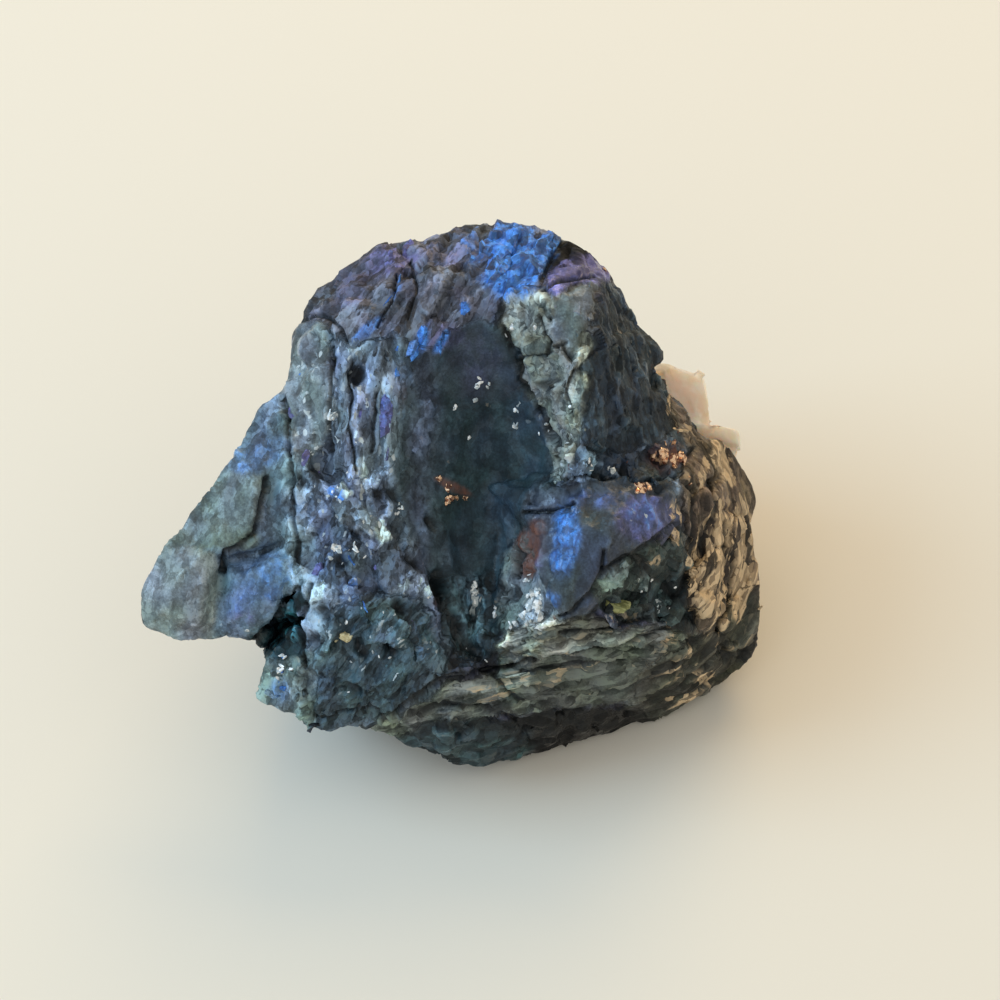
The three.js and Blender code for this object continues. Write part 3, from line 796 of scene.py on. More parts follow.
CRACKS = (
    Crack((
        (-7.2, -14.4), (-6.1, -13.8), (-5.0, -13.1), (-4.1, -12.6), (-2.9, -12.2), (-1.9, -11.9),
        (-1.0, -11.6), (0.3, -11.4), (1.6, -11.0), (3.1, -10.7), (3.9, -10.5), (5.1, -10.3),
        (6.8, -10.1),
    ), 0.5, 0.16),
    Crack(((-4.1, -12.3), (-2.7, -11.8), (-1.5, -11.6)), 0.3),
    Crack(((-0.4, -11.9), (0.3, -12.8), (0.7, -13.3), (1.6, -13.5)), 0.3),
    Crack(((1.4, -11.7), (3.4, -11.4), (6.1, -10.9), (8.5, -10.9)), 0.3, 0.14),
    Crack(((6.8, -12.8), (9.5, -12.2), (12.9, -11.4)), 0.3),
    Crack(((-6.1, -14.4), (-4.1, -13.9), (-1.6, -14.0), (1.0, -14.8), (4.1, -14.4)), 0.35, 0.16),
    Crack(((-12.6, -15.0), (-10.6, -14.5), (-8.6, -14.3), (-7.2, -15.0)), 0.3),
    Crack(((4.1, -9.1), (6.4, -8.9), (8.3, -8.4), (10.2, -8.0)), 0.4, 0.16),
    Crack(((6.9, -10.1), (9.2, -9.5), (11.6, -8.6)), 0.3),
    Crack((
        (12.3, 1.5), (13.0, -0.1), (12.9, -2.5), (13.0, -4.4), (12.3, -6.3), (10.9, -8.2),
    ), 0.4, 0.18),
    Crack(((14.0, 1.4), (14.4, -0.3), (14.0, -2.0), (13.9, -3.8)), 0.3, 0.15),
    Crack(((15.1, -1.6), (15.2, -3.5), (15.0, -4.8)), 0.3),
    Crack(((15.8, -3.7), (15.8, -4.8), (15.4, -7.2), (14.6, -8.8)), 0.35, 0.15),
    Crack(((7.1, -3.5), (7.0, -4.8), (6.2, -6.3), (5.0, -7.5), (4.1, -8.0)), 0.35, 0.16),
    Crack(((7.1, -4.8), (8.3, -4.1), (9.5, -3.5), (10.7, -2.4), (11.7, -1.6)), 0.35, 0.18),
    Crack(((1.8, -0.8), (3.1, -0.7), (4.1, -0.5), (5.0, -0.2)), 0.45, 0.14),
    Crack(((4.1, 1.2), (5.5, 1.5), (7.3, 1.7), (9.5, 1.3), (12.0, 1.6)), 0.3, 0.14),
    Crack((
        (0.2, 11.8), (0.7, 10.6), (1.5, 9.7), (1.3, 8.2), (2.2, 7.1), (3.0, 5.4), (3.6, 4.2),
        (4.0, 2.7), (4.1, 1.4),
    ), 0.35, 0.16),
    Crack(((1.4, 9.7), (2.4, 9.9), (3.4, 10.3), (4.6, 10.8)), 0.18, 0.12),
    Crack(((5.0, 8.8), (4.4, 7.3), (4.8, 6.0)), 0.18, 0.12),
    Crack(((2.6, 12.4), (3.1, 11.0), (2.6, 9.8)), 0.18, 0.11),
    Crack(((2.8, 15.0), (3.3, 16.0), (3.9, 17.0), (4.5, 17.8)), 0.35, 0.16),
    Crack(((2.8, 14.2), (3.7, 14.6), (4.8, 14.9), (6.3, 15.0)), 0.25, 0.11),
    Crack(((-7.0, 15.3), (-7.5, 13.4), (-8.4, 11.8)), 0.25, 0.11),
    Crack(((-6.1, 16.2), (-5.7, 14.3), (-6.3, 12.4)), 0.25, 0.11),
    Crack(((-13.8, 11.8), (-12.8, 12.4), (-11.9, 12.6), (-10.9, 11.8), (-10.5, 10.9)), 0.3, 0.14),
    Crack((
        (-15.8, 1.5), (-16.2, -0.5), (-16.7, -2.3), (-17.7, -3.1), (-18.8, -3.6), (-18.9, -4.8),
    ), 0.45, 0.2),
    Crack(((-13.8, -6.0), (-14.6, -7.0), (-15.4, -8.0), (-16.7, -9.5)), 0.35, 0.2),
    Crack(((-12.9, -5.7), (-13.3, -7.8), (-13.5, -9.9), (-13.3, -11.4)), 0.35, 0.16),
    Crack(((-14.6, 6.8), (-14.3, 2.0), (-13.7, -4.1)), 0.35, 0.18),
    Crack(((-11.4, 10.5), (-11.6, 6.8), (-11.7, 3.3)), 0.3, 0.14),
    Crack(((-10.1, 9.4), (-10.2, 5.4), (-9.8, 2.0)), 0.3, 0.12),
    Crack(((-8.4, 7.3), (-8.7, 3.4)), 0.25, 0.12),
    Crack(((0.9, -5.1), (1.4, -3.4)), 0.5, 0.2),
    Crack(((-4.1, -5.1), (-3.5, -7.1), (-2.6, -9.5), (-1.4, -10.5)), 0.6, 0.4),
)

PITS = tuple(
    Crack((spot, (spot[0] + PIT_LENGTH, spot[1] - PIT_LENGTH)), depth=0.55, width=0.38)
    for spot in (
        (-8.5, 0.5), (-7.3, 0.5), (-9.9, 8.7), (-11.0, -4.1), (-8.4, -6.0), (-6.7, -7.1), (-4.2, -5.8),
        (-12.1, -7.5), (-9.5, -10.2), (-6.0, -4.1), (-7.6, -10.2), (-4.8, -1.4), (-13.6, 1.4),
        (-12.8, -9.5), (-10.2, -12.9), (2.7, 7.8), (4.5, 10.2), (6.7, 2.0), (8.5, 2.0), (9.5, -4.1),
        (11.4, -6.1), (12.9, -9.5), (15.1, -10.3), (0.3, -6.1),
    )
)

STAINS: dict[str, tuple[Stain, ...]] = {
    # Blue film: partly the schorl's iridescent film and partly painted reflection of the cool window
    # light.
    "blue": (
        Stain((0.8, 16.2), (2.3, 2.6), strength=2.6), Stain((2.8, 16.5), (0.9, 1.8), -30, 2.6),
        Stain((-0.8, 16.2), (1.8, 1.8), strength=0.9), Stain((-2.0, 17.7), (1.4, 0.9), strength=0.5),
        Stain((-9.0, 11.7), (1.5, 0.45), 42), Stain((-7.0, 14.4), (0.35, 1.0), -20),
        Stain((-5.4, 10.7), (0.55, 1.5), -22), Stain((-4.0, 10.8), (0.35, 1.1), -30),
        Stain((-2.4, 13.1), (0.5, 0.45)), Stain((-7.8, 6.0), (0.45, 1.7), strength=0.6),
        Stain((-11.2, 0.7), (0.7, 0.7), strength=0.8), Stain((-10.2, -6.1), (1.2, 1.4), strength=0.5),
        Stain((-11.6, -4.1), (1.4, 1.8), strength=0.5), Stain((-5.4, -9.5), (1.2, 1.6), strength=0.2),
        Stain((-16.3, 3.1), (2.3, 1.3), 35, 0.6), Stain((-16.0, -5.6), (3.0, 1.7), 30, 0.52),
        Stain((-18.0, -7.2), (1.2, 0.7), strength=0.4), Stain((4.4, -2.7), (1.15, 3.0), -6, 0.9),
        Stain((9.9, -1.1), (1.8, 1.6), 20, 0.5), Stain((3.5, -6.8), (0.7, 0.8), strength=0.6),
        Stain((6.1, 0.0), (2.8, 0.7), strength=0.3), Stain((-15.0, -12.9), (0.8, 1.2), strength=0.5),
        Stain((9.3, 12.0), (0.35, 0.35)),
    ),
    "violet": (
        Stain((-7.5, 16.2), (2.4, 1.2), strength=0.8),
        Stain((-10.2, 14.3), (2.0, 1.4), 40, strength=0.5),
        Stain((-3.4, 16.9), (3.0, 1.4), strength=0.35), Stain((5.1, 15.5), (2.4, 0.8), 12, 1.8),
        Stain((9.9, -1.2), (2.2, 1.9), 20, 1.2), Stain((6.8, 0.0), (3.0, 0.8), strength=0.4),
        Stain((2.4, -4.1), (0.9, 1.8), strength=0.5), Stain((-4.1, 11.2), (2.0, 1.4), strength=0.5),
        Stain((-1.5, 9.5), (2.3, 2.4), strength=0.25), Stain((-17.3, -7.1), (2.0, 1.8), strength=0.6),
        Stain((-6.8, -9.5), (2.2, 2.4), strength=0.25),
    ),
    "rust": (
        Stain((2.0, -3.5), (1.0, 2.3), -18, 1.7), Stain((7.1, 15.6), (0.3, 0.4)),
        Stain((-3.2, 0.9), (1.5, 0.4), -25, 1.3), Stain((11.4, 2.9), (1.5, 1.1)),
        Stain((9.9, 0.9), (0.9, 0.4)), Stain((-4.2, -6.8), (0.6, 0.6), strength=0.6),
        Stain((-9.5, 15.3), (0.7, 0.5), strength=0.5), Stain((-6.8, 7.1), (0.7, 1.4), strength=0.4),
    ),
    "tan": (
        Stain((13.6, 2.0), (2.2, 3.4), 8, 0.28), Stain((15.1, -4.4), (3.0, 5.6), -2, 0.88),
        Stain((15.0, 2.5), (0.75, 2.1), 20, 1.4), Stain((16.4, -6.4), (0.75, 2.5), -10, 1.4),
        Stain((14.7, -2.7), (0.62, 2.0), 5, 1.3), Stain((13.3, -3.9), (0.60, 1.8), -8, 1.3),
        Stain((15.4, -2.7), (0.52, 1.8), 8, 1.2), Stain((14.1, -5.9), (0.50, 1.8), -22, 1.3),
        Stain((11.8, -1.7), (0.55, 2.2), 4, 0.7), Stain((13.7, 2.0), (0.35, 1.7), -12, 1.0),
        Stain((12.7, 4.9), (0.60, 1.4), 30, 0.35), Stain((11.6, 6.8), (0.25, 1.4), 0, 0.9),
        Stain((13.7, -11.9), (1.4, 0.8), 10, 0.7), Stain((11.4, -9.4), (1.0, 0.6), 30, 0.7),
        Stain((10.5, -4.1), (0.8, 0.6), 0, 0.55), Stain((3.4, -10.1), (4.6, 1.4), 4, 0.32),
        Stain((4.1, -12.2), (5.0, 1.3), 6, 0.38), Stain((11.2, -10.5), (3.6, 2.2), 8, 0.36),
        Stain((-0.7, -12.9), (2.6, 1.0), 15, 0.3), Stain((8.2, -8.3), (2.2, 0.9), 20, 0.38),
        Stain((12.9, -12.9), (2.4, 1.2), 20, 0.32),
    ),
    # Pale specks: partly pale grains of the rock and partly painted glints, whitish highlights painted
    # into the colour.
    "pale": (
        Stain((-10.5, 2.7), (5.0, 11.0), 5, 0.30), Stain((-8.8, -9.5), (6.0, 5.0), 0, 0.2),
        Stain((2.4, -7.1), (1.2, 1.6), 0, 0.50), Stain((-1.6, -6.8), (0.5, 1.6), 0, 0.5),
        Stain((-4.1, -6.1), (0.6, 0.9), 0, 0.35), Stain((2.7, 8.2), (1.6, 5.0), -20, 0.12),
        Stain((4.4, 3.4), (0.8, 2.0), 0, 0.34), Stain((1.4, 12.2), (1.2, 1.8), 0, 0.08),
        Stain((-14.6, -12.9), (1.4, 2.8), 0, 0.2), Stain((7.1, 2.2), (1.2, 0.6), 0, 0.36),
        Stain((9.5, -6.8), (2.6, 2.0), 0, 0.24), Stain((9.9, -1.0), (1.8, 1.4), 0, 0.22),
    ),
}

BACK_STAINS = {"blue": 0.14, "violet": 0.2, "rust": 0.12, "tan": 0.18, "pale": 0.2}

BACK_PATCHES = (
    ((0.077, 0.109, 0.134), 5.0), ((0.082, 0.109, 0.103), 7.0),
    ((0.009, 0.020, 0.027), 4.0), ((0.045, 0.053, 0.092), 6.0),
)

EASED = (((10.9, 10.1), 1.4, 20), ((10.3, 9.1), 1.2, 8))

SWELLS = (
    ((11.2, 9.7), 1.0, 0.5), ((11.3, 8.0), 0.8, -0.3), ((-16.2, 6.7), 0.9, 0.2),
    ((-16.8, -13.1), 0.9, 0.15), ((-22.1, -3.1), 1.2, 0.25), ((5.2, 17.0), 1.2, 0.2),
    ((12.4, 6.8), 1.1, -0.7), ((13.7, 5.2), 1.1, -0.5),
)

BEDS = (
    Bed("crest", 30, (0.8, 2.2), 0.45, -28, 13, (("blue", 0.06), ("violet", 0.10))),
    Bed("granular_strip", 180, (0.5, 1.2), 0.8, 0, 50, (("blue", 0.02), ("violet", 0.04))),
    Bed("columns", 30, (0.8, 2.6), 0.4, -3, 8, (("blue", 0.05), ("violet", 0.08))),
    Bed("left_lobe", 40, (0.5, 1.4), 0.8, 0, 50, (("blue", 0.08),)),
    Bed("wing", 12, (0.7, 1.6), 0.8, 0, 50, (("blue", 0.10),)),
    Bed("hollow_left", 26, (0.4, 1.0), 0.8, 0, 60, (("rust", 0.05), ("violet", 0.05))),
    Bed("rib", 26, (0.7, 2.2), 0.7, -15, 30),
    Bed("right_facet", 12, (0.8, 2.4), 0.45, 10, 12),
    Bed("lump_foot", 40, (0.4, 1.0), 0.8, 0, 50, (("rust", 0.08),), proud=0.25),
    Bed("cavity", 70, (0.5, 1.8), 0.8, 0, 50, (), proud=0.25),
    Bed("between", 50, (0.4, 1.2), 0.8, 0, 50, (("rust", 0.12),), proud=0.25),
    Bed("ledges", 44, (0.8, 2.0), 0.34, 81, 6, (), proud=0.1),
    Bed("base_band", 16, (0.7, 1.6), 0.5, 80, 8),
    Bed("flank", 40, (0.8, 2.2), 0.3, 0, 8, (("tan", 0.4),), proud=0.1),
)

BACK_BED = Bed("crest", 900, (0.6, 1.4), 0.6, tilt=0.05)

PLATE = Bed("crest", 0, (1.0, 1.0), 0.34, tilt=0.08, proud=0.3, roughness=0.3, filming=1.8)
WIDE_PLATE = replace(PLATE, slimness=0.62)
THIN_PLATE = replace(PLATE, slimness=0.2)

# Flat plates with strong film; the blue ones are partly painted reflection of the cool light.
FLASHES = (
    Flash((-9.45, 11.63), 2.7, -51, "blue", PLATE), Flash((-8.70, 12.10), 1.6, -55, "blue", THIN_PLATE),
    Flash((-7.00, 14.48), 2.0, -22, "blue", PLATE), Flash((-7.55, 13.67), 1.2, -40, "blue", THIN_PLATE),
    Flash((-5.44, 10.74), 2.5, -16, "blue", PLATE), Flash((-5.85, 10.06), 1.4, -24, "blue", WIDE_PLATE),
    Flash((-4.01, 10.81), 2.2, -32, "blue", THIN_PLATE),
    Flash((-2.38, 13.06), 1.0, -20, "blue", WIDE_PLATE), Flash((-7.75, 6.46), 4.2, -3, "violet", PLATE),
    Flash((2.79, 16.52), 3.0, -34, "blue", PLATE), Flash((2.18, 15.78), 1.5, -30, "blue", WIDE_PLATE),
    Flash((1.09, 17.27), 1.8, -20, "blue", WIDE_PLATE),
    Flash((0.34, 15.91), 2.0, -25, "blue", WIDE_PLATE),
    Flash((-0.41, 14.96), 1.5, -35, "blue", WIDE_PLATE), Flash((-1.09, 16.46), 1.6, -25, "blue", PLATE),
    Flash((1.63, 14.69), 1.3, -60, "blue", PLATE),
    Flash((-7.62, 16.18), 1.8, -30, "violet", WIDE_PLATE),
    Flash((-6.26, 17.00), 1.6, -30, "violet", WIDE_PLATE),
    Flash((-4.08, 16.46), 1.8, -30, "violet", WIDE_PLATE),
    Flash((4.76, 15.50), 2.4, -78, "violet", PLATE), Flash((6.12, 15.78), 1.6, -78, "violet", PLATE),
    Flash((7.07, 15.64), 0.7, 10, "rust", WIDE_PLATE),
    Flash((-11.22, 0.88), 0.9, 0, "blue", WIDE_PLATE),
    Flash((-10.95, 0.20), 0.7, 50, "blue", WIDE_PLATE),
    Flash((-10.06, -4.08), 0.8, 30, "blue", WIDE_PLATE),
    Flash((-10.40, -5.85), 0.9, -40, "blue", WIDE_PLATE), Flash((-9.18, -7.28), 0.8, 20, "blue", PLATE),
    Flash((-14.82, -12.92), 0.9, -30, "blue", WIDE_PLATE),
    Flash((-13.60, -7.62), 0.8, 30, "blue", PLATE),
)


class NodeDesk:
    """A tree of shader nodes, with short ways to add and join them."""

    def __init__(self, tree: bpy.types.NodeTree) -> None:
        """Works on that tree."""
        self.tree = tree

    def node(self, kind: str, inputs: dict[Any, Any], **settings: Any) -> bpy.types.Node:
        """Adds a node.

        Args:
            kind: Blender's name of the node's type.
            inputs: Input name or number to a value, or to a socket to join to it.
            settings: The node's own properties.

        Returns:
            The new node.
        """
        node = self.tree.nodes.new(kind)
        for name, value in settings.items():
            setattr(node, name, value)
        for key, value in inputs.items():
            if isinstance(value, Socket):
                self.tree.links.new(value, node.inputs[key])
            else:
                node.inputs[key].default_value = value
        return node

    def math(self, operation: str, first: Any, second: Any) -> Socket:
        """The result of Blender's named operation on two numbers or sockets."""
        return self.node("ShaderNodeMath", {0: first, 1: second}, operation=operation).outputs[0]

    def times(self, first: Any, second: Any) -> Socket:
        """The product of two numbers or sockets."""
        return self.math("MULTIPLY", first, second)

    def plus(self, first: Any, second: Any) -> Socket:
        """The sum of two numbers or sockets."""
        return self.math("ADD", first, second)

    def faded(self, share: Any, value: Any) -> Socket:
        """1 where the share is 0, and the value where it is 1."""
        return self.node("ShaderNodeMix", {0: share, 2: 1.0, 3: value}).outputs[0]

    def bump(self, strength: Any, depth: float, height: Socket) -> Socket:
        """The normal of a height's relief, as deep as that in millimetres where the height is 1."""
        inputs = {"Strength": strength, "Distance": depth * MM, "Height": height}
        return self.node("ShaderNodeBump", inputs).outputs[0]

    def graded(
        self, value: Any, low: float, high: float, to_low: float = 0, to_high: float = 1
    ) -> Socket:
        """Grades a value softly.

        Args:
            value: The socket to grade.
            low: The value that gives to_low.
            high: The value that gives to_high.
            to_low: The result at and below low.
            to_high: The result at and above high.

        Returns:
            The graded value.
        """
        inputs = {"Value": value, 1: low, 2: high, 3: to_low, 4: to_high}
        return self.node("ShaderNodeMapRange", inputs, interpolation_type="SMOOTHSTEP").outputs[0]

    def multiplied(self, first: Any, second: Any) -> Socket:
        """The product of two colours."""
        return self.mixed(1.0, first, second, "MULTIPLY")

    def mixed(self, share: Any, first: Any, second: Any, blend: str = "MIX") -> Socket:
        """Mixes two colours.

        Args:
            share: How much of the second shows.
            first: The first colour, or its socket.
            second: The second colour, or its socket.
            blend: Blender's name for how they mix.

        Returns:
            The mixed colour.
        """
        inputs = {0: share, 6: _colour(first), 7: _colour(second)}
        settings = {"data_type": "RGBA", "blend_type": blend}
        return self.node("ShaderNodeMix", inputs, **settings).outputs[2]


class MaterialDesk(NodeDesk):
    """A material's nodes, around one Principled shader."""

    def __init__(self, name: str) -> None:
        """Starts a material.

        Args:
            name: The material's name.
        """
        self.material = bpy.data.materials.new(name)
        self.material.use_nodes = True
        super().__init__(self.material.node_tree)
        self.shader = self.tree.nodes["Principled BSDF"]
        self.coordinates = self.tree.nodes.new("ShaderNodeTexCoord").outputs["Object"]

    def noise(self, spacing: float, detail: float = 4, place: Any = None) -> Socket:
        """Noise from 0 to 1.

        Args:
            spacing: The size of its largest spots, in millimetres.
            detail: How many finer sizes are added.
            place: Where it is read, in millimetres, when not at the place itself.

        Returns:
            The noise's value.
        """
        vector, scale = (self.coordinates, 1 / MM) if place is None else (place, 1.0)
        inputs = {"Vector": vector, "Scale": scale / spacing, "Detail": detail, "Roughness": 0.6}
        return self.node("ShaderNodeTexNoise", inputs).outputs["Fac"]

    def cells(self, vector: Any, spacing: float, warp: float = 0.0) -> tuple[Any, Any]:
        """A pattern of random cells, like the little planes of a broken crystal.

        Args:
            vector: The place, in millimetres.
            spacing: The cells' size, in millimetres.
            warp: How far noise bends their borders, in millimetres.

        Returns:
            Each cell's random colour, and the height in millimetres of a plane tilted by that colour.
        """
        if warp:
            inputs = {"Vector": vector, "Scale": 0.5 / spacing, "Detail": 3}
            bend = self.node("ShaderNodeTexNoise", inputs).outputs["Color"]
            bend = self.vector_math("SUBTRACT", bend, (0.5, 0.5, 0.5))
            bend = self.vector_math("MULTIPLY", bend, (4 * warp,) * 3)
            vector = self.vector_math("ADD", vector, bend)
        voronoi = self.node("ShaderNodeTexVoronoi", {"Vector": vector, "Scale": 1 / spacing})
        colour, middle = voronoi.outputs["Color"], voronoi.outputs["Position"]
        offset = self.vector_math("SUBTRACT", vector, middle)
        tilt = self.vector_math("SUBTRACT", colour, (0.5, 0.5, 0.5))
        height = self.node("ShaderNodeVectorMath", {0: offset, 1: tilt}, operation="DOT_PRODUCT")
        return colour, self.math("MULTIPLY", height.outputs["Value"], 2.0)

    def vector_math(self, operation: str, first: Any, second: Any) -> Socket:
        """The result of Blender's named operation on two vectors."""
        return self.node("ShaderNodeVectorMath", {0: first, 1: second}, operation=operation).outputs[0]

    def attribute(self, name: str, output: str = "Fac") -> Socket:
        """One of the mesh's own attributes."""
        return self.node("ShaderNodeAttribute", {}, attribute_name=name).outputs[output]

    def finish(self, **inputs: Any) -> bpy.types.Material:
        """Sets the shader's inputs, whose names have underscores for spaces.

        Args:
            inputs: Each input's value or socket.

        Returns:
            The finished material.
        """
        for name, value in inputs.items():
            socket = self.shader.inputs[name.replace("_", " ")]
            if isinstance(value, Socket):
                self.tree.links.new(value, socket)
            elif socket.type == "RGBA":
                socket.default_value = _colour(value)
            else:
                socket.default_value = value
        return self.material


def _colour(value: Any) -> Any:
    """A colour of three numbers with its alpha added; anything else as it is."""
    return (*value, 1.0) if isinstance(value, tuple) and len(value) == 3 else value


def placed_piece(
    mesh: bpy.types.Mesh, name: str, replaced: str | None = None
) -> bpy.types.Object:
    """Puts a finished mesh in the scene and ties it to the part.

    Args:
        mesh: The mesh, in its place.
        name: The piece's name.
        replaced: The CAD node that it stands for.

    Returns:
        The new piece.
    """
    piece = bpy.data.objects.new(name, mesh)
    bpy.context.scene.collection.objects.link(piece)
    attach(piece, "root")
    if replaced:
        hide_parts(replaced)
    return piece


def bmesh_of(node: bpy.types.Object) -> BMesh:
    """Copies a CAD node's mesh and merges its loose triangles.

    Args:
        node: The node.

    Returns:
        The copy.
    """
    shape = bmesh.new()
    shape.from_mesh(node.data)
    bmesh.ops.remove_doubles(shape, verts=shape.verts, dist=MERGE_GAP * MM)
    return shape


def halve(shape: BMesh, edges: list[bmesh.types.BMEdge]) -> None:
    """Cuts edges in half and keeps every face a triangle."""
    bmesh.ops.subdivide_edges(shape, edges=edges, cuts=1, use_grid_fill=True)
    bmesh.ops.triangulate(shape, faces=[face for face in shape.faces if len(face.verts) > 3])


def ease(shape: BMesh, vertices: Any, share: float) -> None:
    """Moves vertices towards the middle of their neighbours."""
    axes = {"use_axis_x": True, "use_axis_y": True, "use_axis_z": True}
    bmesh.ops.smooth_vert(shape, verts=vertices, factor=share, **axes)


def mesh_from(shape: BMesh, name: str) -> bpy.types.Mesh:
    """Makes a mesh from a bmesh, and frees the bmesh.

    Args:
        shape: The bmesh.
        name: The new mesh's name.

    Returns:
        The new mesh.
    """
    mesh = bpy.data.meshes.new(name)
    shape.to_mesh(mesh)
    shape.free()
    return mesh


def store(mesh: bpy.types.Mesh, name: str, values: np.ndarray) -> None:
    """Stores one number, or three numbers, to a vertex.

    Args:
        mesh: The mesh that gets them.
        name: The attribute's name.
        values: One number or one row to a vertex.
    """
    if values.ndim == 2 and values.shape[1] == 3:
        triples = values.ravel().astype(np.float32)
        mesh.attributes.new(name, "FLOAT_VECTOR", "POINT").data.foreach_set("vector", triples)
    else:
        numbers = values.ravel().astype(np.float32)
        mesh.attributes.new(name, "FLOAT", "POINT").data.foreach_set("value", numbers)


def fetch(mesh: bpy.types.Mesh, name: str) -> np.ndarray:
    """Reads back what store() stored.

    Args:
        mesh: The mesh.
        name: The attribute's name.

    Returns:
        One row to a vertex.
    """
    layer = mesh.attributes[name]
    width, key = (3, "vector") if layer.data_type == "FLOAT_VECTOR" else (1, "value")
    values = np.empty(len(mesh.vertices) * width, dtype=np.float32)
    layer.data.foreach_get(key, values)
    return values.reshape(-1, width).astype(float)


def read_vectors(mesh: bpy.types.Mesh, collection: Any, name: str) -> np.ndarray:
    """Reads one vector to a vertex.

    Args:
        mesh: The mesh.
        collection: Its vertices, or their normals.
        name: What is read from each.

    Returns:
        The vectors as rows of numbers.
    """
    values = np.empty(len(mesh.vertices) * 3)
    collection.foreach_get(name, values)
    return values.reshape(-1, 3)


@dataclass(frozen=True)
class TourmalineFinish:
    """Schorl: near-black with a grey bloom, blue and violet films (the blue partly painted reflection
    of the cool light), tan mica, pale specks that are partly painted glints, and painted shade in its
    cracks and pits.
    """

    name: str = "schorl"
    # Blue and cyan film colours, partly painted reflection of the cool light.
    blue: Triple = (0.042, 0.135, 0.44)
    cyan: Triple = (0.08, 0.27, 0.72)
    violet: Triple = (0.12, 0.115, 0.28)
    tan: Triple = (0.34, 0.245, 0.148)
    straw: Triple = (0.82, 0.605, 0.365)
    # The pale of the specks, which are partly painted glints.
    pale: Triple = (0.55, 0.60, 0.60)
    rust: Triple = (0.16, 0.07, 0.05)
    # Near-black painted shade for the cracks and pits.
    deep: Triple = (0.006, 0.008, 0.009)
    cloud: float = 1.3
    speck: float = 0.16
    planes: Place = (0.58, 0.16)
    little_planes: Place = (0.25, 0.08)
    film_spots: float = 0.4
    film_patches: float = 0.8
    tan_shows: Place = (0.84, 1.12)
    pale_shows: Place = (1.0, 1.1)
    brightest: float = 1.7
    crack_shade_strength: float = 0.85

    def material(self) -> bpy.types.Material:
        """Builds the material.

        Returns:
            The finished material.
        """
        desk = MaterialDesk(self.name)
        grain = desk.attribute("grain")
        coarse = desk.noise(self.cloud, 5)
        fine = desk.noise(self.speck, 5)
        lay = desk.attribute("lay", "Vector")
        shade, plane = desk.cells(lay, *self.planes)
        fleck, little_plane = desk.cells(lay, *self.little_planes)
        clouds = desk.graded(coarse, 0.3, 0.7, 0.65, 1.35)
        bloom = desk.times(clouds, desk.graded(fine, 0.3, 0.7, 0.75, 1.25))
        tiles = desk.graded(shade, 0.3, 0.75, 0.5, 1.9)
        mosaic = desk.times(tiles, desk.graded(fleck, 0.25, 0.8, 0.6, 1.7))
        light = desk.times(bloom, desk.faded(grain, mosaic))
        rock = desk.attribute("rock", "Color")
        rock = desk.multiplied(rock, desk.math("MINIMUM", light, self.brightest))
        spots = desk.graded(desk.noise(self.film_spots, 5, place=lay), 0.38, 0.62)
        films = desk.mixed(spots, self.blue, self.cyan)
        texture = desk.graded(light, 0.2, 2.0, 0.45, 1.5)
        sheen = desk.faded(grain, desk.graded(shade, 0.25, 0.65, 0.55, 1.15))
        violet = desk.multiplied(self.violet, texture)
        colour = desk.mixed(self._filmed(desk, "violet", sheen), rock, violet)
        # Blue film mixed in: partly iridescent film, partly painted reflection of the cool light.
        films = desk.multiplied(films, texture)
        colour = desk.mixed(self._filmed(desk, "blue", sheen), colour, films)
        colour = desk.mixed(self._filmed(desk, "rust", sheen), colour, self.rust)
        mineral = desk.plus(desk.times(shade, 0.75), desk.times(fleck, 0.25))
        mineral = desk.graded(desk.plus(mineral, desk.attribute("tan")), *self.tan_shows, 0.0, 0.9)
        tan = desk.mixed(desk.graded(fleck, 0.2, 0.8), self.tan, self.straw)
        colour = desk.mixed(mineral, colour, tan)
        # Painted glints: pale specks mixed into the colour, partly the rock's own pale grains.
        glint = desk.graded(desk.plus(fleck, desk.attribute("pale")), *self.pale_shows)
        colour = desk.mixed(glint, colour, self.pale)
        # Painted shade: the colour goes near-black along the cracks and pits, where shade falls.
        groove = desk.times(desk.attribute("crack"), self.crack_shade_strength)
        colour = desk.mixed(groove, colour, self.deep)
        dull = desk.plus(desk.attribute("gloss"), desk.graded(shade, 0.3, 0.7, 0.12, -0.14))
        relief = desk.plus(desk.times(plane, 0.5), desk.times(little_plane, 0.45))
        relief = desk.plus(relief, desk.times(fine, 0.05))
        return desk.finish(
            Base_Color=colour,
            Roughness=dull,
            Normal=desk.bump(grain, 1.0, relief),
            Specular_IOR_Level=0.26,
            IOR=1.63,
        )

    def _filmed(self, desk: MaterialDesk, name: str, sheen: Socket) -> Socket:
        """How much of a film shows: its attribute, patchy and stronger on some planes.

        Args:
            desk: The material's nodes.
            name: The attribute.
            sheen: How strongly each little plane shows films.

        Returns:
            Its share of the surface.
        """
        lay = desk.attribute("lay", "Vector")
        patch = desk.graded(desk.noise(self.film_patches, 5, place=lay), 0.3, 0.65, 0.5, 1.0)
        film = desk.times(desk.attribute(name), desk.times(patch, sheen))
        return desk.graded(film, 0.0, 0.85)


def tinted(rock: np.ndarray, tones: np.ndarray, places: np.ndarray, contrast: Any = 1.0) -> np.ndarray:
    """Turns rock colours lighter or darker, and a little greener, bluer or more violet.

    Args:
        rock: The colours, one to a row.
        tones: How light each is, from 0 to 1.
        places: Where each is.
        contrast: How strongly the tones show, for each or for all.

    Returns:
        The new colours.
    """
    shade = 1 + contrast * (1.7 * tones**1.3 - 0.75)
    hue = np.clip(0.5 + 0.9 * swells(places + 9.0, (1.6, 2.4, 1.6)), 0, 1)
    green, violet = np.array((1.01, 1.04, 0.90)), np.array((1.04, 0.95, 1.08))
    return np.clip(rock * shade[:, None] * (green + hue[:, None] * (violet - green)), 0.002, 0.8)


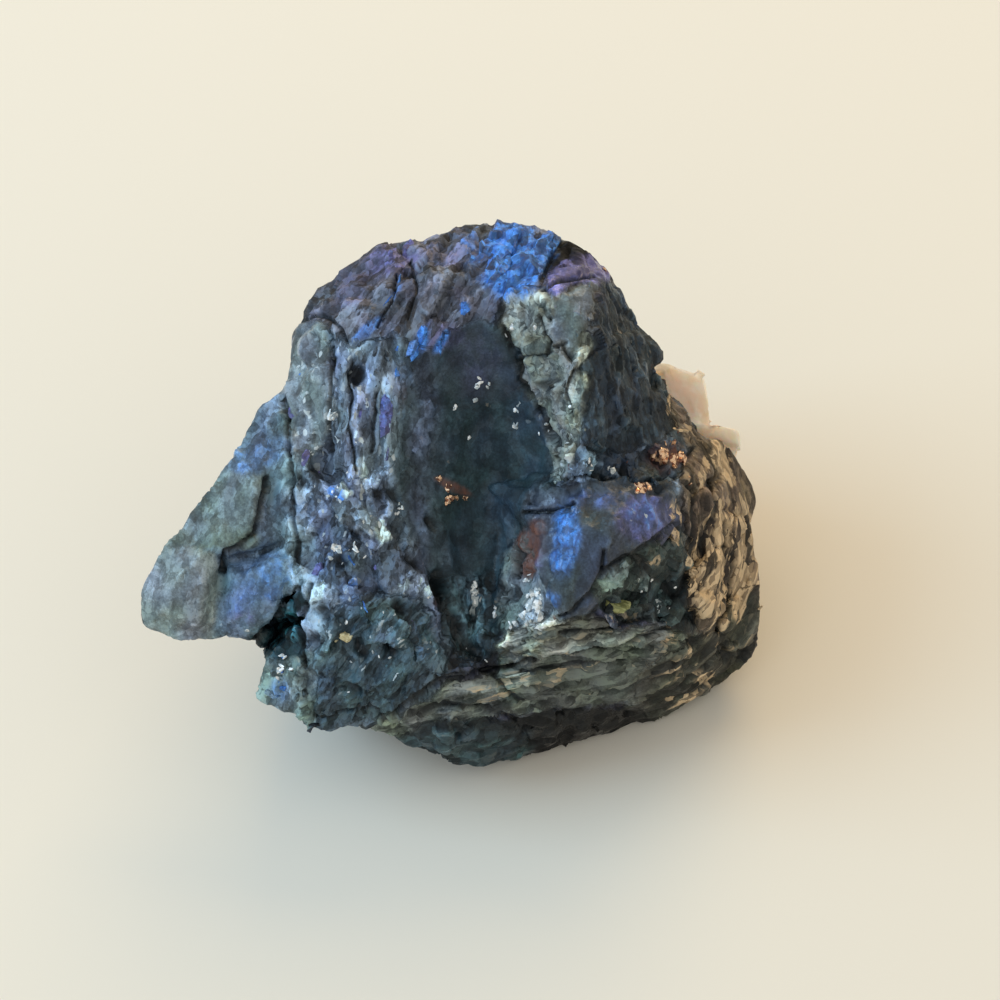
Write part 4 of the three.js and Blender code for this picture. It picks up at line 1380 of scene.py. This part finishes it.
@dataclass
class TourmalineChunk:
    """The chunk: its CAD form made fine, roughened, painted and dressed."""

    node: str = "black_tourmaline"
    fine_edge: float = 0.222
    coarse_edge: float = 0.5
    crack_edge: float = 0.13
    crack_reach: float = 0.17
    halvings: int = 5
    base_clearance: float = 0.15
    fullness: float = 0.32
    edge_slack: float = 1.35
    crease: float = math.radians(28)
    face_turn: float = 0.02
    front_border: Place = (-0.38, 0.02)
    least_relief: float = 0.45
    floor_gap: float = 0.02
    touching: float = 0.001
    tone_shows: Place = (0.1, 0.5)
    tan_tone_shows: Place = (0.42, 0.78)
    finish: TourmalineFinish = field(default_factory=TourmalineFinish)

    def build(self, frame: dict[str, Any]) -> bpy.types.Object:
        """Makes the finished chunk.

        Args:
            frame: The loaded CAD frame.

        Returns:
            The chunk's piece.
        """
        shape = bmesh_of(frame["nodes"][self.node])
        self._refine(shape)
        mesh = mesh_from(shape, "tourmaline_chunk")
        self._roughen_and_paint(mesh)
        mesh.set_sharp_from_angle(angle=self.crease)
        mesh.materials.append(self.finish.material())
        piece = placed_piece(mesh, "tourmaline_chunk", self.node)
        LOG.info("tourmaline chunk: %d triangles", len(mesh.polygons))
        return piece

    def _refine(self, shape: BMesh) -> None:
        """Halves the edges until the broken face is fine, smoothing a little each time.

        Args:
            shape: The chunk's bmesh.
        """
        out = FACE.outwards()
        for _ in range(self.halvings):
            shape.normal_update()
            wanted = []
            for edge in shape.edges:
                limit = self.fine_edge if self._faces(edge, out) else self.coarse_edge
                if edge.calc_length() > limit * MM * self.edge_slack:
                    wanted.append(edge)
            if not wanted:
                break
            halve(shape, wanted)
            loose = [vertex for vertex in shape.verts if vertex.co.z > self.base_clearance * MM]
            ease(shape, loose, 0.35)
        self._refine_cracks(shape)
        places = FACE.across_up_out(np.array([vertex.co for vertex in shape.verts]) / MM)
        corners = list(shape.verts)
        for spot, reach, times in EASED:
            indices = np.flatnonzero(distance_from(places, spot) < reach)
            near = [corners[index] for index in indices if corners[index].co.z > MM]
            for _ in range(times):
                ease(shape, near, 0.5)
        shape.normal_update()

    def _refine_cracks(self, shape: BMesh) -> None:
        """Halves what is still long of the edges along the cracks, twice.

        Args:
            shape: The chunk's bmesh.
        """
        out = FACE.outwards()
        for _ in range(2):
            shape.normal_update()
            long_edges = [edge for edge in shape.edges if edge.calc_length() > self.crack_edge * MM]
            edges = [edge for edge in long_edges if self._faces(edge, out)]
            middles = np.array([(edge.verts[0].co + edge.verts[1].co) / 2 for edge in edges]) / MM
            places = FACE.across_up_out(middles)[:, :2]
            paths = [distance_within(places, crack.path, 2 * self.crack_reach) for crack in CRACKS]
            nearest = np.min(paths, axis=0)
            halve(shape, [edge for edge, near in zip(edges, nearest) if near < self.crack_reach])

    def _faces(self, edge: bmesh.types.BMEdge, way: Vector) -> bool:
        """Whether a face beside an edge is turned the given way."""
        return any(face.normal.dot(way) > self.face_turn for face in edge.link_faces)

    def _roughen_and_paint(self, mesh: bpy.types.Mesh) -> None:
        """Moves the vertices in and out by their zones' relief, and stores what each is made of, with
        the masks that paint shade into the cracks and glints among the pale specks.

        Args:
            mesh: The chunk's refined mesh.
        """
        points = read_vectors(mesh, mesh.vertices, "co") / MM
        normals = read_vectors(mesh, mesh.vertex_normals, "vector")
        places = FACE.across_up_out(points)
        facing = normals @ np.array(FACE.outwards())
        wander = swells(places, (0.9, 0.9, 0.9), 0.35)
        straying = swells(places, (2.2, 2.2, 2.2), 0.6)
        front = smooth_step(facing + straying * smooth_step(-facing, 0.0, 0.2), *self.front_border)
        ground = self._ground(places, front, wander)
        open_share = (1 - self.least_relief) * smooth_step(np.abs(facing), 0.0, 0.45)
        heights = ground["height"] * (self.least_relief + open_share)
        heights += self.fullness * (1 - smooth_step(np.abs(facing), 0.35, 0.85))
        for spot, reach, height in SWELLS:
            swell = np.exp(-((distance_from(places, spot) / reach) ** 2))
            heights += height * swell * smooth_step(facing, -0.6, -0.2)
        cracks = np.zeros(len(points))
        for crack in CRACKS + PITS:
            near = crack.nearness(places, wander) * front
            heights -= crack.depth * near
            cracks = np.maximum(cracks, near)
        lift = smooth_step(points[:, 2], self.base_clearance, 4 * self.base_clearance)
        moved = points + normals * (heights * lift)[:, None]
        touching = points[:, 2] < self.touching
        moved[:, 2] = np.where(touching, 0, np.maximum(moved[:, 2], self.floor_gap))
        mesh.vertices.foreach_set("co", (moved * MM).ravel())
        store(mesh, "rock", tinted(ground["rock"], ground["tone"], places, ground["contrast"]))
        store(mesh, "gloss", ground["gloss"] + GLOSS_SWING * (1 - 2 * ground["tone"]))
        store(mesh, "grain", ground["grain"])
        store(mesh, "lay", ground["lay"])
        # Nearness to the cracks and pits: the mask for their painted shade.
        store(mesh, "crack", cracks)
        for name, stains in STAINS.items():
            share = np.zeros(len(points))
            for stain in stains:
                share = np.maximum(share, stain.share(places) * front)
            patches = smooth_step(swells(places + len(name), (3.0, 3.0, 3.0)), 0.0, 0.5)
            share = np.maximum(share, (1 - front) * BACK_STAINS[name] * patches)
            shows = self.tan_tone_shows if name == "tan" else self.tone_shows
            store(mesh, name, share * (0.5 + 0.5 * smooth_step(ground["tone"], *shows)))
        mesh.update()

    @staticmethod
    def _ground(places: np.ndarray, front: np.ndarray, wander: np.ndarray) -> dict[str, np.ndarray]:
        """Lays the zones over each other.

        Args:
            places: Across, up and out, one place to a row.
            front: How much each place belongs to the broken face.
            wander: How far borders stray at each place.

        Returns:
            The height, tone, rock colour, gloss and grain of each place.
        """
        height, tone = BACK.relief(places)
        rock = np.tile(BACK.rock, (len(places), 1))
        for patch, spacing in BACK_PATCHES:
            spread = swells(places + 3 * spacing, (spacing, 1.5 * spacing, spacing))
            rock += smooth_step(spread, 0.0, 0.25)[:, None] * (np.array(patch) - rock)
        ground = {"height": height, "tone": tone, "rock": rock, "lay": BACK.lay(places)}
        plain = {"gloss": BACK.roughness, "grain": BACK.grain, "contrast": BACK.contrast}
        ground |= {name: np.full(len(places), value) for name, value in plain.items()}
        for zone in ZONES.values():
            share = zone.share(places, wander) * front
            inside = share > 0
            held = share[inside]
            height, tone = zone.relief(places[inside])
            painted = {"height": height, "tone": tone, "gloss": zone.roughness, "grain": zone.grain}
            for name, values in (painted | {"contrast": zone.contrast}).items():
                ground[name][inside] += held * (values - ground[name][inside])
            ground["rock"][inside] += held[:, None] * (np.array(zone.rock) - ground["rock"][inside])
            ground["lay"][share > 0.5] = zone.lay(places[share > 0.5])
        return ground


def splinter_shape(chance: random.Random) -> tuple[np.ndarray, np.ndarray]:
    """Makes one broken prism, 1 unit long and about 1 unit across, lying along its second axis.

    Args:
        chance: Where its random numbers come from.

    Returns:
        Its corners, and its triangles as numbers of corners.
    """
    shape = bmesh.new()
    sides = chance.choice((4, 5, 5, 6))
    first = chance.uniform(0, math.tau)
    turns = [first + math.tau * (side + chance.uniform(-0.3, 0.3)) / sides for side in range(sides)]
    waist = chance.uniform(-0.15, 0.15)
    for end, least, most in ((-0.5, 0.25, 0.7), (waist, 0.85, 1.0), (0.5, 0.25, 0.7)):
        narrowing = chance.uniform(least, most)
        slant, roll = chance.uniform(-0.35, 0.35), chance.uniform(-0.35, 0.35)
        for turn in turns:
            x, z = 0.5 * narrowing * math.cos(turn), 0.5 * narrowing * math.sin(turn)
            shape.verts.new((x, end + slant * x + roll * z, z))
    hull = bmesh.ops.convex_hull(shape, input=shape.verts)
    bmesh.ops.delete(shape, geom=hull["geom_interior"] + hull["geom_unused"], context="VERTS")
    bmesh.ops.triangulate(shape, faces=shape.faces)
    bmesh.ops.recalc_face_normals(shape, faces=shape.faces)
    shape.verts.index_update()
    corners = np.array([vertex.co for vertex in shape.verts])
    triangles = np.array([[vertex.index for vertex in face.verts] for face in shape.faces])
    shape.free()
    return corners, triangles


class Ground:
    """The finished chunk's surface, and what each place of it is made of."""

    def __init__(self, chunk: bpy.types.Object) -> None:
        """Reads the chunk's mesh.

        Args:
            chunk: The finished chunk.
        """
        shape = bmesh.new()
        shape.from_mesh(chunk.data)
        self.surface = BVHTree.FromBMesh(shape)
        shape.free()
        self.material = chunk.data.materials[0]
        self.faces = np.empty(len(chunk.data.polygons) * 3, dtype=np.int32)
        chunk.data.polygons.foreach_get("vertices", self.faces)
        names = ["rock", "gloss", "grain", "crack", *STAINS]
        self.paint = {name: fetch(chunk.data, name) for name in names}

    def hit(self, start: Vector, way: Vector) -> tuple[Vector, Vector, int] | None:
        """Follows a line in millimetres to the chunk.

        Args:
            start: Where the line starts.
            way: Its direction.

        Returns:
            The point met, the normal there and the number of a corner near it, or None.
        """
        place, normal, face, _ = self.surface.ray_cast(start * MM, way)
        return None if place is None else (place / MM, normal, int(self.faces[face * 3]))

    def gap(self, spot: Vector) -> float:
        """How far a place in millimetres is from the surface."""
        return self.surface.find_nearest(spot * MM)[3] / MM


@dataclass
class Splinters:
    """Small broken prisms of schorl that stand out of the chunk, all in one mesh."""

    ground: Ground
    name: str
    seed: int
    shapes: int = 40
    lowest: float = 1.2
    floor_gap: float = 0.4
    tries: int = 6
    overhang: float = 0.2
    crack_gap: float = 0.28
    seating: float = 0.18
    edge_on: float = 0.12
    back_turn: float = -0.45
    middle: Triple = (0.0, 0.0, 13.0)
    far: float = 60.0
    corners: list[np.ndarray] = field(default_factory=list)
    triangles: list[np.ndarray] = field(default_factory=list)
    paint: dict[str, list[np.ndarray]] = field(default_factory=dict)
    held: int = 0

    def __post_init__(self) -> None:
        """Makes the shapes that every splinter is one of."""
        self.chance = random.Random(self.seed)
        self.stock = [splinter_shape(self.chance) for _ in range(self.shapes)]

    def spread(self, bed: Bed) -> None:
        """Scatters a bed's splinters over its zone of the broken face.

        Args:
            bed: The kind of splinter.
        """
        zone = ZONES[bed.zone]
        low, high = np.min(zone.outline, axis=0), np.max(zone.outline, axis=0)
        left = bed.count
        for _ in range(bed.count * self.tries):
            if not left:
                break
            spot = (self.chance.uniform(low[0], high[0]), self.chance.uniform(low[1], high[1]))
            here = np.array([spot])
            if depth_inside(here, zone.outline)[0] < -self.overhang:
                continue
            if min(distance_to_path(here, crack.path)[0] for crack in CRACKS + PITS) < self.crack_gap:
                continue
            left -= 1
            lean = bed.lean + zone.lean_at(spot) + self.chance.gauss(0, bed.stray)
            self.lay(spot, lean, self._length(bed), bed, self._chosen(bed.films))

    def lay(self, spot: Place, lean: float, length: float, bed: Bed, film: str | None) -> None:
        """Lays one splinter on the chunk, where the sight lines through its two ends meet it.

        Args:
            spot: Its middle, across and up the face.
            lean: How far its top leans over to the left, in degrees.
            length: How long it is.
            bed: What kind it is.
            film: The film or mineral on it, if any.
        """
        turn = math.radians(lean)
        reach = 0.4 * length
        across, up = -math.sin(turn) * reach, math.cos(turn) * reach
        eye = FACE.eye()
        places = ((spot[0] - across, spot[1] - up), (spot[0] + across, spot[1] + up), spot)
        hits = [self.ground.hit(eye, FACE.on_plane(*place) - eye) for place in places]
        if None in hits or (hits[1][0] - hits[0][0]).length > 1.3 * length:
            return
        (tail, _, _), (tip, _, _), (middle, normal, corner) = hits
        along = (tip - tail).normalized()
        self._add(middle * 0.4 + (tip + tail) * 0.3, normal, corner, along, length, bed, film)

    def wrap(self, bed: Bed) -> None:
        """Scatters a bed's splinters over the sides and back, along the crystals' length.

        Args:
            bed: The kind of splinter.
        """
        out, middle = FACE.outwards(), Vector(self.middle)
        for _ in range(bed.count):
            way = Vector([self.chance.gauss(0, 1) for _ in range(3)]).normalized()
            hit = self.ground.hit(middle + way * self.far, -way)
            if hit is None or hit[1].dot(out) > self.back_turn:
                continue
            along = Vector((self.chance.gauss(0.15, 0.2), self.chance.gauss(0.2, 0.2), 1))
            self._add(*hit, along, self._length(bed), bed, self._chosen(bed.films))

    def _length(self, bed: Bed) -> float:
        """Picks a length between a bed's least and most, and more often a short one."""
        return bed.length[0] + (bed.length[1] - bed.length[0]) * self.chance.random() ** 2

    def _chosen(self, films: Films) -> str | None:
        """Picks a film by its odds.

        Args:
            films: Each film with its odds.

        Returns:
            The film's name, or None.
        """
        draw = self.chance.random()
        for film, odds in films:
            draw -= odds
            if draw < 0:
                return film
        return None

    def _add(
        self,
        spot: Vector,
        normal: Vector,
        corner: int,
        along: Vector,
        length: float,
        bed: Bed,
        film: str | None,
    ) -> None:
        """Adds one splinter, made of what the chunk is made of under it.

        Args:
            spot: The place on the chunk under it, in millimetres.
            normal: The chunk's normal there.
            corner: The number of the chunk's corner near it.
            along: The direction it should lie in, before it is laid on the surface.
            length: How long it is.
            bed: What kind it is.
            film: The film or mineral on it, if any.
        """
        jitter = Vector([self.chance.uniform(-1, 1) for _ in range(3)])
        up = (normal + jitter * bed.tilt).normalized()
        run = along - up * along.dot(up)
        if run.length < 0.05 or spot.z < self.lowest:
            return
        run.normalize()
        corners, triangles = self.chance.choice(self.stock)
        width = length * bed.slimness * self.chance.uniform(0.7, 1.3)
        height = min(width, length) * self.chance.uniform(0.5, 0.8)
        turn = np.array(Matrix((run.cross(up), run, up)))
        centre = np.array(spot + normal * (height * (bed.proud - 0.5)))
        placed = (corners * (width, length, height)) @ turn + centre
        if placed[:, 2].min() < self.floor_gap:
            return
        tone = self.chance.random()
        loose = self.ground.gap(spot) > self.seating * height
        if loose or abs(normal.dot(FACE.outwards())) < self.edge_on:
            return
        self.corners.append(placed)
        self.triangles.append(triangles + self.held)
        self.held += len(placed)
        values = {name: rows[corner].copy() for name, rows in self.ground.paint.items()}
        values["rock"] *= 0.6 + 0.75 * tone
        values["gloss"] = (bed.roughness or values["gloss"]) + GLOSS_SWING * (1 - 2 * tone)
        # Splinters get none of the cracks' painted shade.
        values["crack"] *= 0.0
        if film:
            values[film] = np.maximum(values[film], bed.filming)
        rows = {name: np.tile(value, (len(placed), 1)) for name, value in values.items()}
        for name, value in (rows | {"lay": FACE.across_up_out(placed)}).items():
            self.paint.setdefault(name, []).append(value)

    def piece(self, material: bpy.types.Material) -> bpy.types.Object:
        """Makes the piece from every splinter placed.

        Args:
            material: What they are made of.

        Returns:
            The piece.
        """
        mesh = bpy.data.meshes.new(self.name)
        corners = np.concatenate(self.corners) * MM
        mesh.from_pydata(corners.tolist(), [], np.concatenate(self.triangles).tolist())
        for key, values in self.paint.items():
            store(mesh, key, np.concatenate(values))
        mesh.materials.append(material)
        mesh.update()
        LOG.info("%s: %d splinters, %d triangles", self.name, len(self.corners), len(mesh.polygons))
        return placed_piece(mesh, self.name)


@dataclass(frozen=True)
class FlakeFinish:
    """Mica or metal that shines: its colour, roughness and how metallic it is."""

    name: str
    colour: Triple
    deep: Triple
    roughness: float = 0.25
    metallic: float = 0.6
    planes: float = 0.22
    speck: float = 0.2

    def material(self) -> bpy.types.Material:
        """Builds the material.

        Returns:
            The finished material.
        """
        desk = MaterialDesk(self.name)
        place = desk.vector_math("MULTIPLY", desk.coordinates, (1 / MM,) * 3)
        fleck, plane = desk.cells(place, self.planes)
        shine = desk.noise(self.speck, 4)
        return desk.finish(
            Base_Color=desk.mixed(desk.graded(fleck, 0.3, 0.6), self.deep, self.colour),
            Roughness=desk.graded(shine, 0.3, 0.7, self.roughness - 0.08, self.roughness + 0.12),
            Metallic=self.metallic,
            Normal=desk.bump(0.5, 1.0, plane),
        )


MICA = FlakeFinish("silvery_mica", (1.0, 1.0, 0.97), (0.50, 0.56, 0.58), 0.3, 0.1)
COPPER = FlakeFinish("coppery_mica", (1.0, 0.66, 0.42), (0.20, 0.08, 0.05), 0.24, 0.7)
CREAM = FlakeFinish("cream_grain", (0.90, 0.82, 0.52), (0.62, 0.52, 0.28), 0.45, 0.0)
OLIVE = FlakeFinish("olive_grain", (0.42, 0.42, 0.17), (0.26, 0.27, 0.10), 0.5, 0.0)


@dataclass(frozen=True)
class QuartzFinish:
    """Milky quartz, faintly pink, waxy and a little translucent."""

    name: str = "milky_quartz_finish"
    body: Triple = (0.95, 0.725, 0.55)
    vein: Triple = (0.97, 0.84, 0.70)
    cloud: float = 1.6
    speck: float = 0.5

    def material(self) -> bpy.types.Material:
        """Builds the material.

        Returns:
            The finished material.
        """
        desk = MaterialDesk(self.name)
        cloud = desk.graded(desk.noise(self.cloud, 5), 0.35, 0.65)
        relief = desk.noise(self.speck, 5)
        return desk.finish(
            Base_Color=desk.mixed(cloud, self.body, self.vein),
            Roughness=desk.graded(relief, 0.3, 0.7, 0.28, 0.5),
            Normal=desk.bump(0.5, 0.12, relief),
            Subsurface_Weight=0.8,
            Subsurface_Radius=(1.0, 0.7, 0.5),
            Subsurface_Scale=1.6 * MM,
            IOR=1.54,
        )


@dataclass
class QuartzLump:
    """The quartz: its CAD blocks made fine and broken like glass."""

    node: str = "milky_quartz"
    edge: float = 0.24
    edge_slack: float = 1.4
    halvings: int = 6
    crease: float = math.radians(25)
    layers: tuple[Layer, ...] = (
        Layer(SHARDS, 0.22, (3.0, 3.0, 3.0)),
        Layer(SHARDS, 0.05, (1.1, 1.1, 1.1)),
    )
    finish: QuartzFinish = field(default_factory=QuartzFinish)

    def build(self, frame: dict[str, Any]) -> bpy.types.Object:
        """Makes the finished lump.

        Args:
            frame: The loaded CAD frame.

        Returns:
            The lump's piece.
        """
        shape = bmesh_of(frame["nodes"][self.node])
        limit = self.edge * MM * self.edge_slack
        for _ in range(self.halvings):
            long_edges = [edge for edge in shape.edges if edge.calc_length() > limit]
            if not long_edges:
                break
            halve(shape, long_edges)
        ease(shape, shape.verts, 0.5)
        mesh = mesh_from(shape, "quartz_lump")
        points = read_vectors(mesh, mesh.vertices, "co") / MM
        normals = read_vectors(mesh, mesh.vertex_normals, "vector")
        heights = sum(layer.heights_and_tones(points)[0] for layer in self.layers)
        mesh.vertices.foreach_set("co", ((points + normals * heights[:, None]) * MM).ravel())
        mesh.set_sharp_from_angle(angle=self.crease)
        mesh.materials.append(self.finish.material())
        mesh.update()
        LOG.info("quartz lump: %d triangles", len(mesh.polygons))
        return placed_piece(mesh, "quartz_lump", self.node)


@dataclass(frozen=True)
class Cluster:
    """A few shiny flakes close together: their middle, number, sizes and how far they spread."""

    middle: Place
    count: int
    length: Place
    spread: Place = (0.0, 0.0)
    lean: float = 0.0
    stray: float = 80.0
    slimness: Place = (0.5, 1.0)
    proud: float = 0.6

    def fill(self, group: Splinters) -> None:
        """Lays the flakes on the chunk.

        Args:
            group: The group that they are part of.
        """
        chance = group.chance
        for _ in range(self.count):
            across, up = (chance.gauss(0, 0.5) * spread for spread in self.spread)
            spot = (self.middle[0] + across, self.middle[1] + up)
            bed = replace(FLAKE, slimness=chance.uniform(*self.slimness), proud=self.proud)
            lean = self.lean + chance.uniform(-1, 1) * self.stray
            group.lay(spot, lean, chance.uniform(*self.length), bed, None)


FLAKE = Bed("crest", 0, (1.0, 1.0), 0.6, tilt=0.4)

SILVER_FLAKES = (
    Cluster((2.31, -7.34), 26, (0.35, 0.8), (0.7, 1.0)),
    Cluster((1.84, -5.24), 5, (0.25, 0.45), (0.15, 0.5)),
    Cluster((-1.70, -6.26), 9, (0.3, 0.6), (0.2, 0.9)),
    Cluster((-0.34, -7.55), 4, (0.25, 0.5), (0.3, 0.3)),
    Cluster((0.88, -8.50), 4, (0.3, 0.5), (0.3, 0.2)),
    Cluster((-11.15, -3.26), 3, (0.4, 0.7), (0.4, 0.15), 80),
    Cluster((-9.93, -3.33), 3, (0.3, 0.55), (0.2, 0.3)),
    Cluster((-11.36, 5.64), 3, (0.35, 0.6), (0.25, 0.4)),
    Cluster((-10.06, 8.57), 2, (0.3, 0.45), (0.2, 0.1)),
    Cluster((-3.06, 6.39), 2, (0.3, 0.4), (0.1, 0.1), 60), Cluster((-1.70, 6.80), 1, (0.3, 0.4)),
    Cluster((1.09, 6.05), 2, (0.25, 0.4), (0.15, 0.1)),
    Cluster((1.16, 5.10), 3, (0.3, 0.45), (0.2, 0.2)),
    Cluster((-2.11, 4.22), 1, (0.3, 0.4), (0.0, 0.0), 80),
    Cluster((-1.09, 8.09), 5, (0.25, 0.5), (0.4, 0.5)),
    Cluster((6.19, 2.24), 4, (0.3, 0.5), (0.3, 0.4)), Cluster((7.55, 2.04), 3, (0.3, 0.5), (0.2, 0.3)),
    Cluster((0.68, 11.63), 5, (0.3, 0.5), (0.5, 0.4)),
    Cluster((2.18, 11.36), 3, (0.25, 0.4), (0.3, 0.3)),
    Cluster((8.91, 11.42), 4, (0.2, 0.35), (0.4, 0.4)),
    Cluster((-14.89, -11.42), 8, (0.3, 0.6), (0.5, 1.2)),
    Cluster((-11.22, 0.75), 5, (0.2, 0.4), (0.5, 0.4)),
    Cluster((-17.00, -8.98), 3, (0.3, 0.5), (0.5, 0.2)),
    Cluster((-4.76, -6.66), 3, (0.2, 0.35), (0.3, 0.3)),
    Cluster((-6.94, -0.54), 5, (0.2, 0.35), (0.8, 0.5)),
    Cluster((-10.88, 2.72), 9, (0.12, 0.28), (2.6, 4.0)),
    Cluster((-10.20, -4.76), 10, (0.12, 0.3), (2.6, 3.0)),
    Cluster((-8.84, -10.20), 8, (0.12, 0.3), (3.6, 3.0)),
    Cluster((3.40, 5.44), 6, (0.18, 0.35), (1.0, 3.0)),
    Cluster((10.20, -6.12), 7, (0.2, 0.4), (2.0, 1.6)),
    Cluster((1.36, -10.20), 4, (0.15, 0.3), (3.0, 1.0)),
)

COPPER_FLAKES = (
    Cluster((-3.47, 0.0), 6, (0.35, 0.7), (0.25, 0.15)),
    Cluster((-2.72, 0.14), 5, (0.25, 0.45), (0.6, 0.06), 80),
    Cluster((-4.35, 1.43), 4, (0.25, 0.5), (0.5, 0.08), 80),
    Cluster((-3.26, 0.88), 4, (0.2, 0.4), (0.7, 0.3), 75),
    Cluster((10.88, 2.92), 11, (0.5, 1.1), (0.7, 0.6)),
    Cluster((12.10, 2.65), 9, (0.5, 1.1), (0.8, 0.5)),
    Cluster((11.56, 3.60), 6, (0.3, 0.6), (0.4, 0.4)),
    Cluster((9.66, 0.88), 8, (0.45, 0.8), (0.6, 0.25)),
    Cluster((7.07, 15.78), 3, (0.25, 0.4), (0.15, 0.15)),
    Cluster((12.92, 1.36), 4, (0.2, 0.4), (0.4, 0.6)),
)

CREAM_GRAINS = (
    Cluster((-10.61, -9.32), 9, (0.5, 0.9), (0.5, 0.28)),
    Cluster((-11.22, -9.59), 3, (0.25, 0.4), (0.3, 0.1), 80),
)

OLIVE_GRAINS = (
    Cluster((7.89, -7.21), 5, (1.3, 1.8), (0.35, 0.2), 85, 12, (0.6, 0.75), 0.8),
)

FLAKES = (
    ("silver_flakes", MICA, SILVER_FLAKES),
    ("copper_flakes", COPPER, COPPER_FLAKES),
    ("cream_grains", CREAM, CREAM_GRAINS),
    ("olive_grains", OLIVE, OLIVE_GRAINS),
)


@dataclass(frozen=True)
class SoftLight:
    """A square soft light: its place and side in metres, its power in watts and its colour."""

    name: str
    place: Triple
    size: float
    power: float
    colour: Triple

    def hang(self) -> None:
        """Hangs the light, turned towards the chunk."""
        light = bpy.data.lights.new(self.name, "AREA")
        light.size = self.size
        light.energy = self.power
        light.color = self.colour
        lamp = bpy.data.objects.new(self.name, light)
        lamp.location = self.place
        aim = Vector(LIGHTS_AIM) - lamp.location
        lamp.rotation_euler = aim.to_track_quat("-Z", "Y").to_euler()
        bpy.context.scene.collection.objects.link(lamp)


@dataclass(frozen=True)
class Studio:
    """The pale floor, the soft lights and the camera."""

    floor_size: float = 3.0
    lens: float = 137.6
    surround: Triple = (0.61, 0.605, 0.565)
    window: Triple = (0.86, 0.98, 1.14)
    lamp: Triple = (0.48, 0.455, 0.41)
    table: Triple = (0.845, 0.775, 0.66)
    lights: tuple[SoftLight, ...] = (
        SoftLight("window_light", (-0.46, 0.02, 0.36), 0.32, 1.8, (0.44, 0.73, 1.0)),
        SoftLight("lamp_light", (0.16, 0.58, 0.44), 0.45, 2.4, (1.0, 0.72, 0.34)),
    )

    def build(self) -> None:
        """Makes the floor, the lights and the camera."""
        self._camera()
        self._floor()
        self._world()
        for light in self.lights:
            light.hang()

    def _camera(self) -> None:
        """Looks square at the broken face from its sighting distance."""
        camera = bpy.data.objects.new("camera", bpy.data.cameras.new("camera"))
        camera.data.lens = self.lens
        camera.data.sensor_width = 36.0
        camera.data.clip_start = 0.01
        camera.location = FACE.eye() * MM
        camera.rotation_euler = (FACE.slope, 0, 0)
        bpy.context.scene.collection.objects.link(camera)
        bpy.context.scene.camera = camera

    def _floor(self) -> None:
        """A wide matt cream table top."""
        shape = bmesh.new()
        bmesh.ops.create_grid(shape, x_segments=1, y_segments=1, size=self.floor_size / 2)
        mesh = mesh_from(shape, "floor")
        floor = bpy.data.objects.new("floor", mesh)
        desk = MaterialDesk("cream_table")
        mesh.materials.append(desk.finish(Base_Color=self.table, Roughness=0.7, Specular_IOR_Level=0.2))
        bpy.context.scene.collection.objects.link(floor)

    def _world(self) -> None:
        """A soft surround: cool towards the window, warm behind, and dimmer in front and above."""
        world = bpy.data.worlds.new("room")
        world.use_nodes = True
        desk = NodeDesk(world.node_tree)
        generated = desk.tree.nodes.new("ShaderNodeTexCoord").outputs["Generated"]
        x, y, _ = desk.node("ShaderNodeSeparateXYZ", {0: generated}).outputs
        colour = desk.mixed(desk.graded(x, 0.0, -0.9), self.surround, self.window)
        colour = desk.mixed(desk.graded(y, 0.1, 0.9), colour, self.lamp)
        desk.tree.links.new(colour, world.node_tree.nodes["Background"].inputs["Color"])
        bpy.context.scene.world = world
        bpy.context.scene.view_settings.view_transform = "Standard"


def crust(chunk: bpy.types.Object) -> None:
    """Dresses the chunk's broken face and its back with splinters and flakes.

    Args:
        chunk: The finished chunk.
    """
    ground = Ground(chunk)
    front = Splinters(ground, "face_splinters", seed=7)
    for bed in BEDS:
        front.spread(bed)
    for flash in FLASHES:
        front.lay(flash.middle, flash.lean, flash.length, flash.bed, flash.film)
    front.piece(ground.material)
    back = Splinters(ground, "back_splinters", seed=11)
    back.wrap(BACK_BED)
    back.piece(ground.material)
    for name, finish, clusters in FLAKES:
        group = Splinters(ground, name, seed=len(name))
        for cluster in clusters:
            cluster.fill(group)
        group.piece(finish.material())


def main() -> None:
    """Builds every piece in order and reports it."""
    logging.basicConfig(level=logging.INFO, format="%(message)s")
    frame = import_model()
    Studio().build()
    chunk = TourmalineChunk().build(frame)
    crust(chunk)
    QuartzLump().build(frame)


if __name__ == "__main__":
    main()
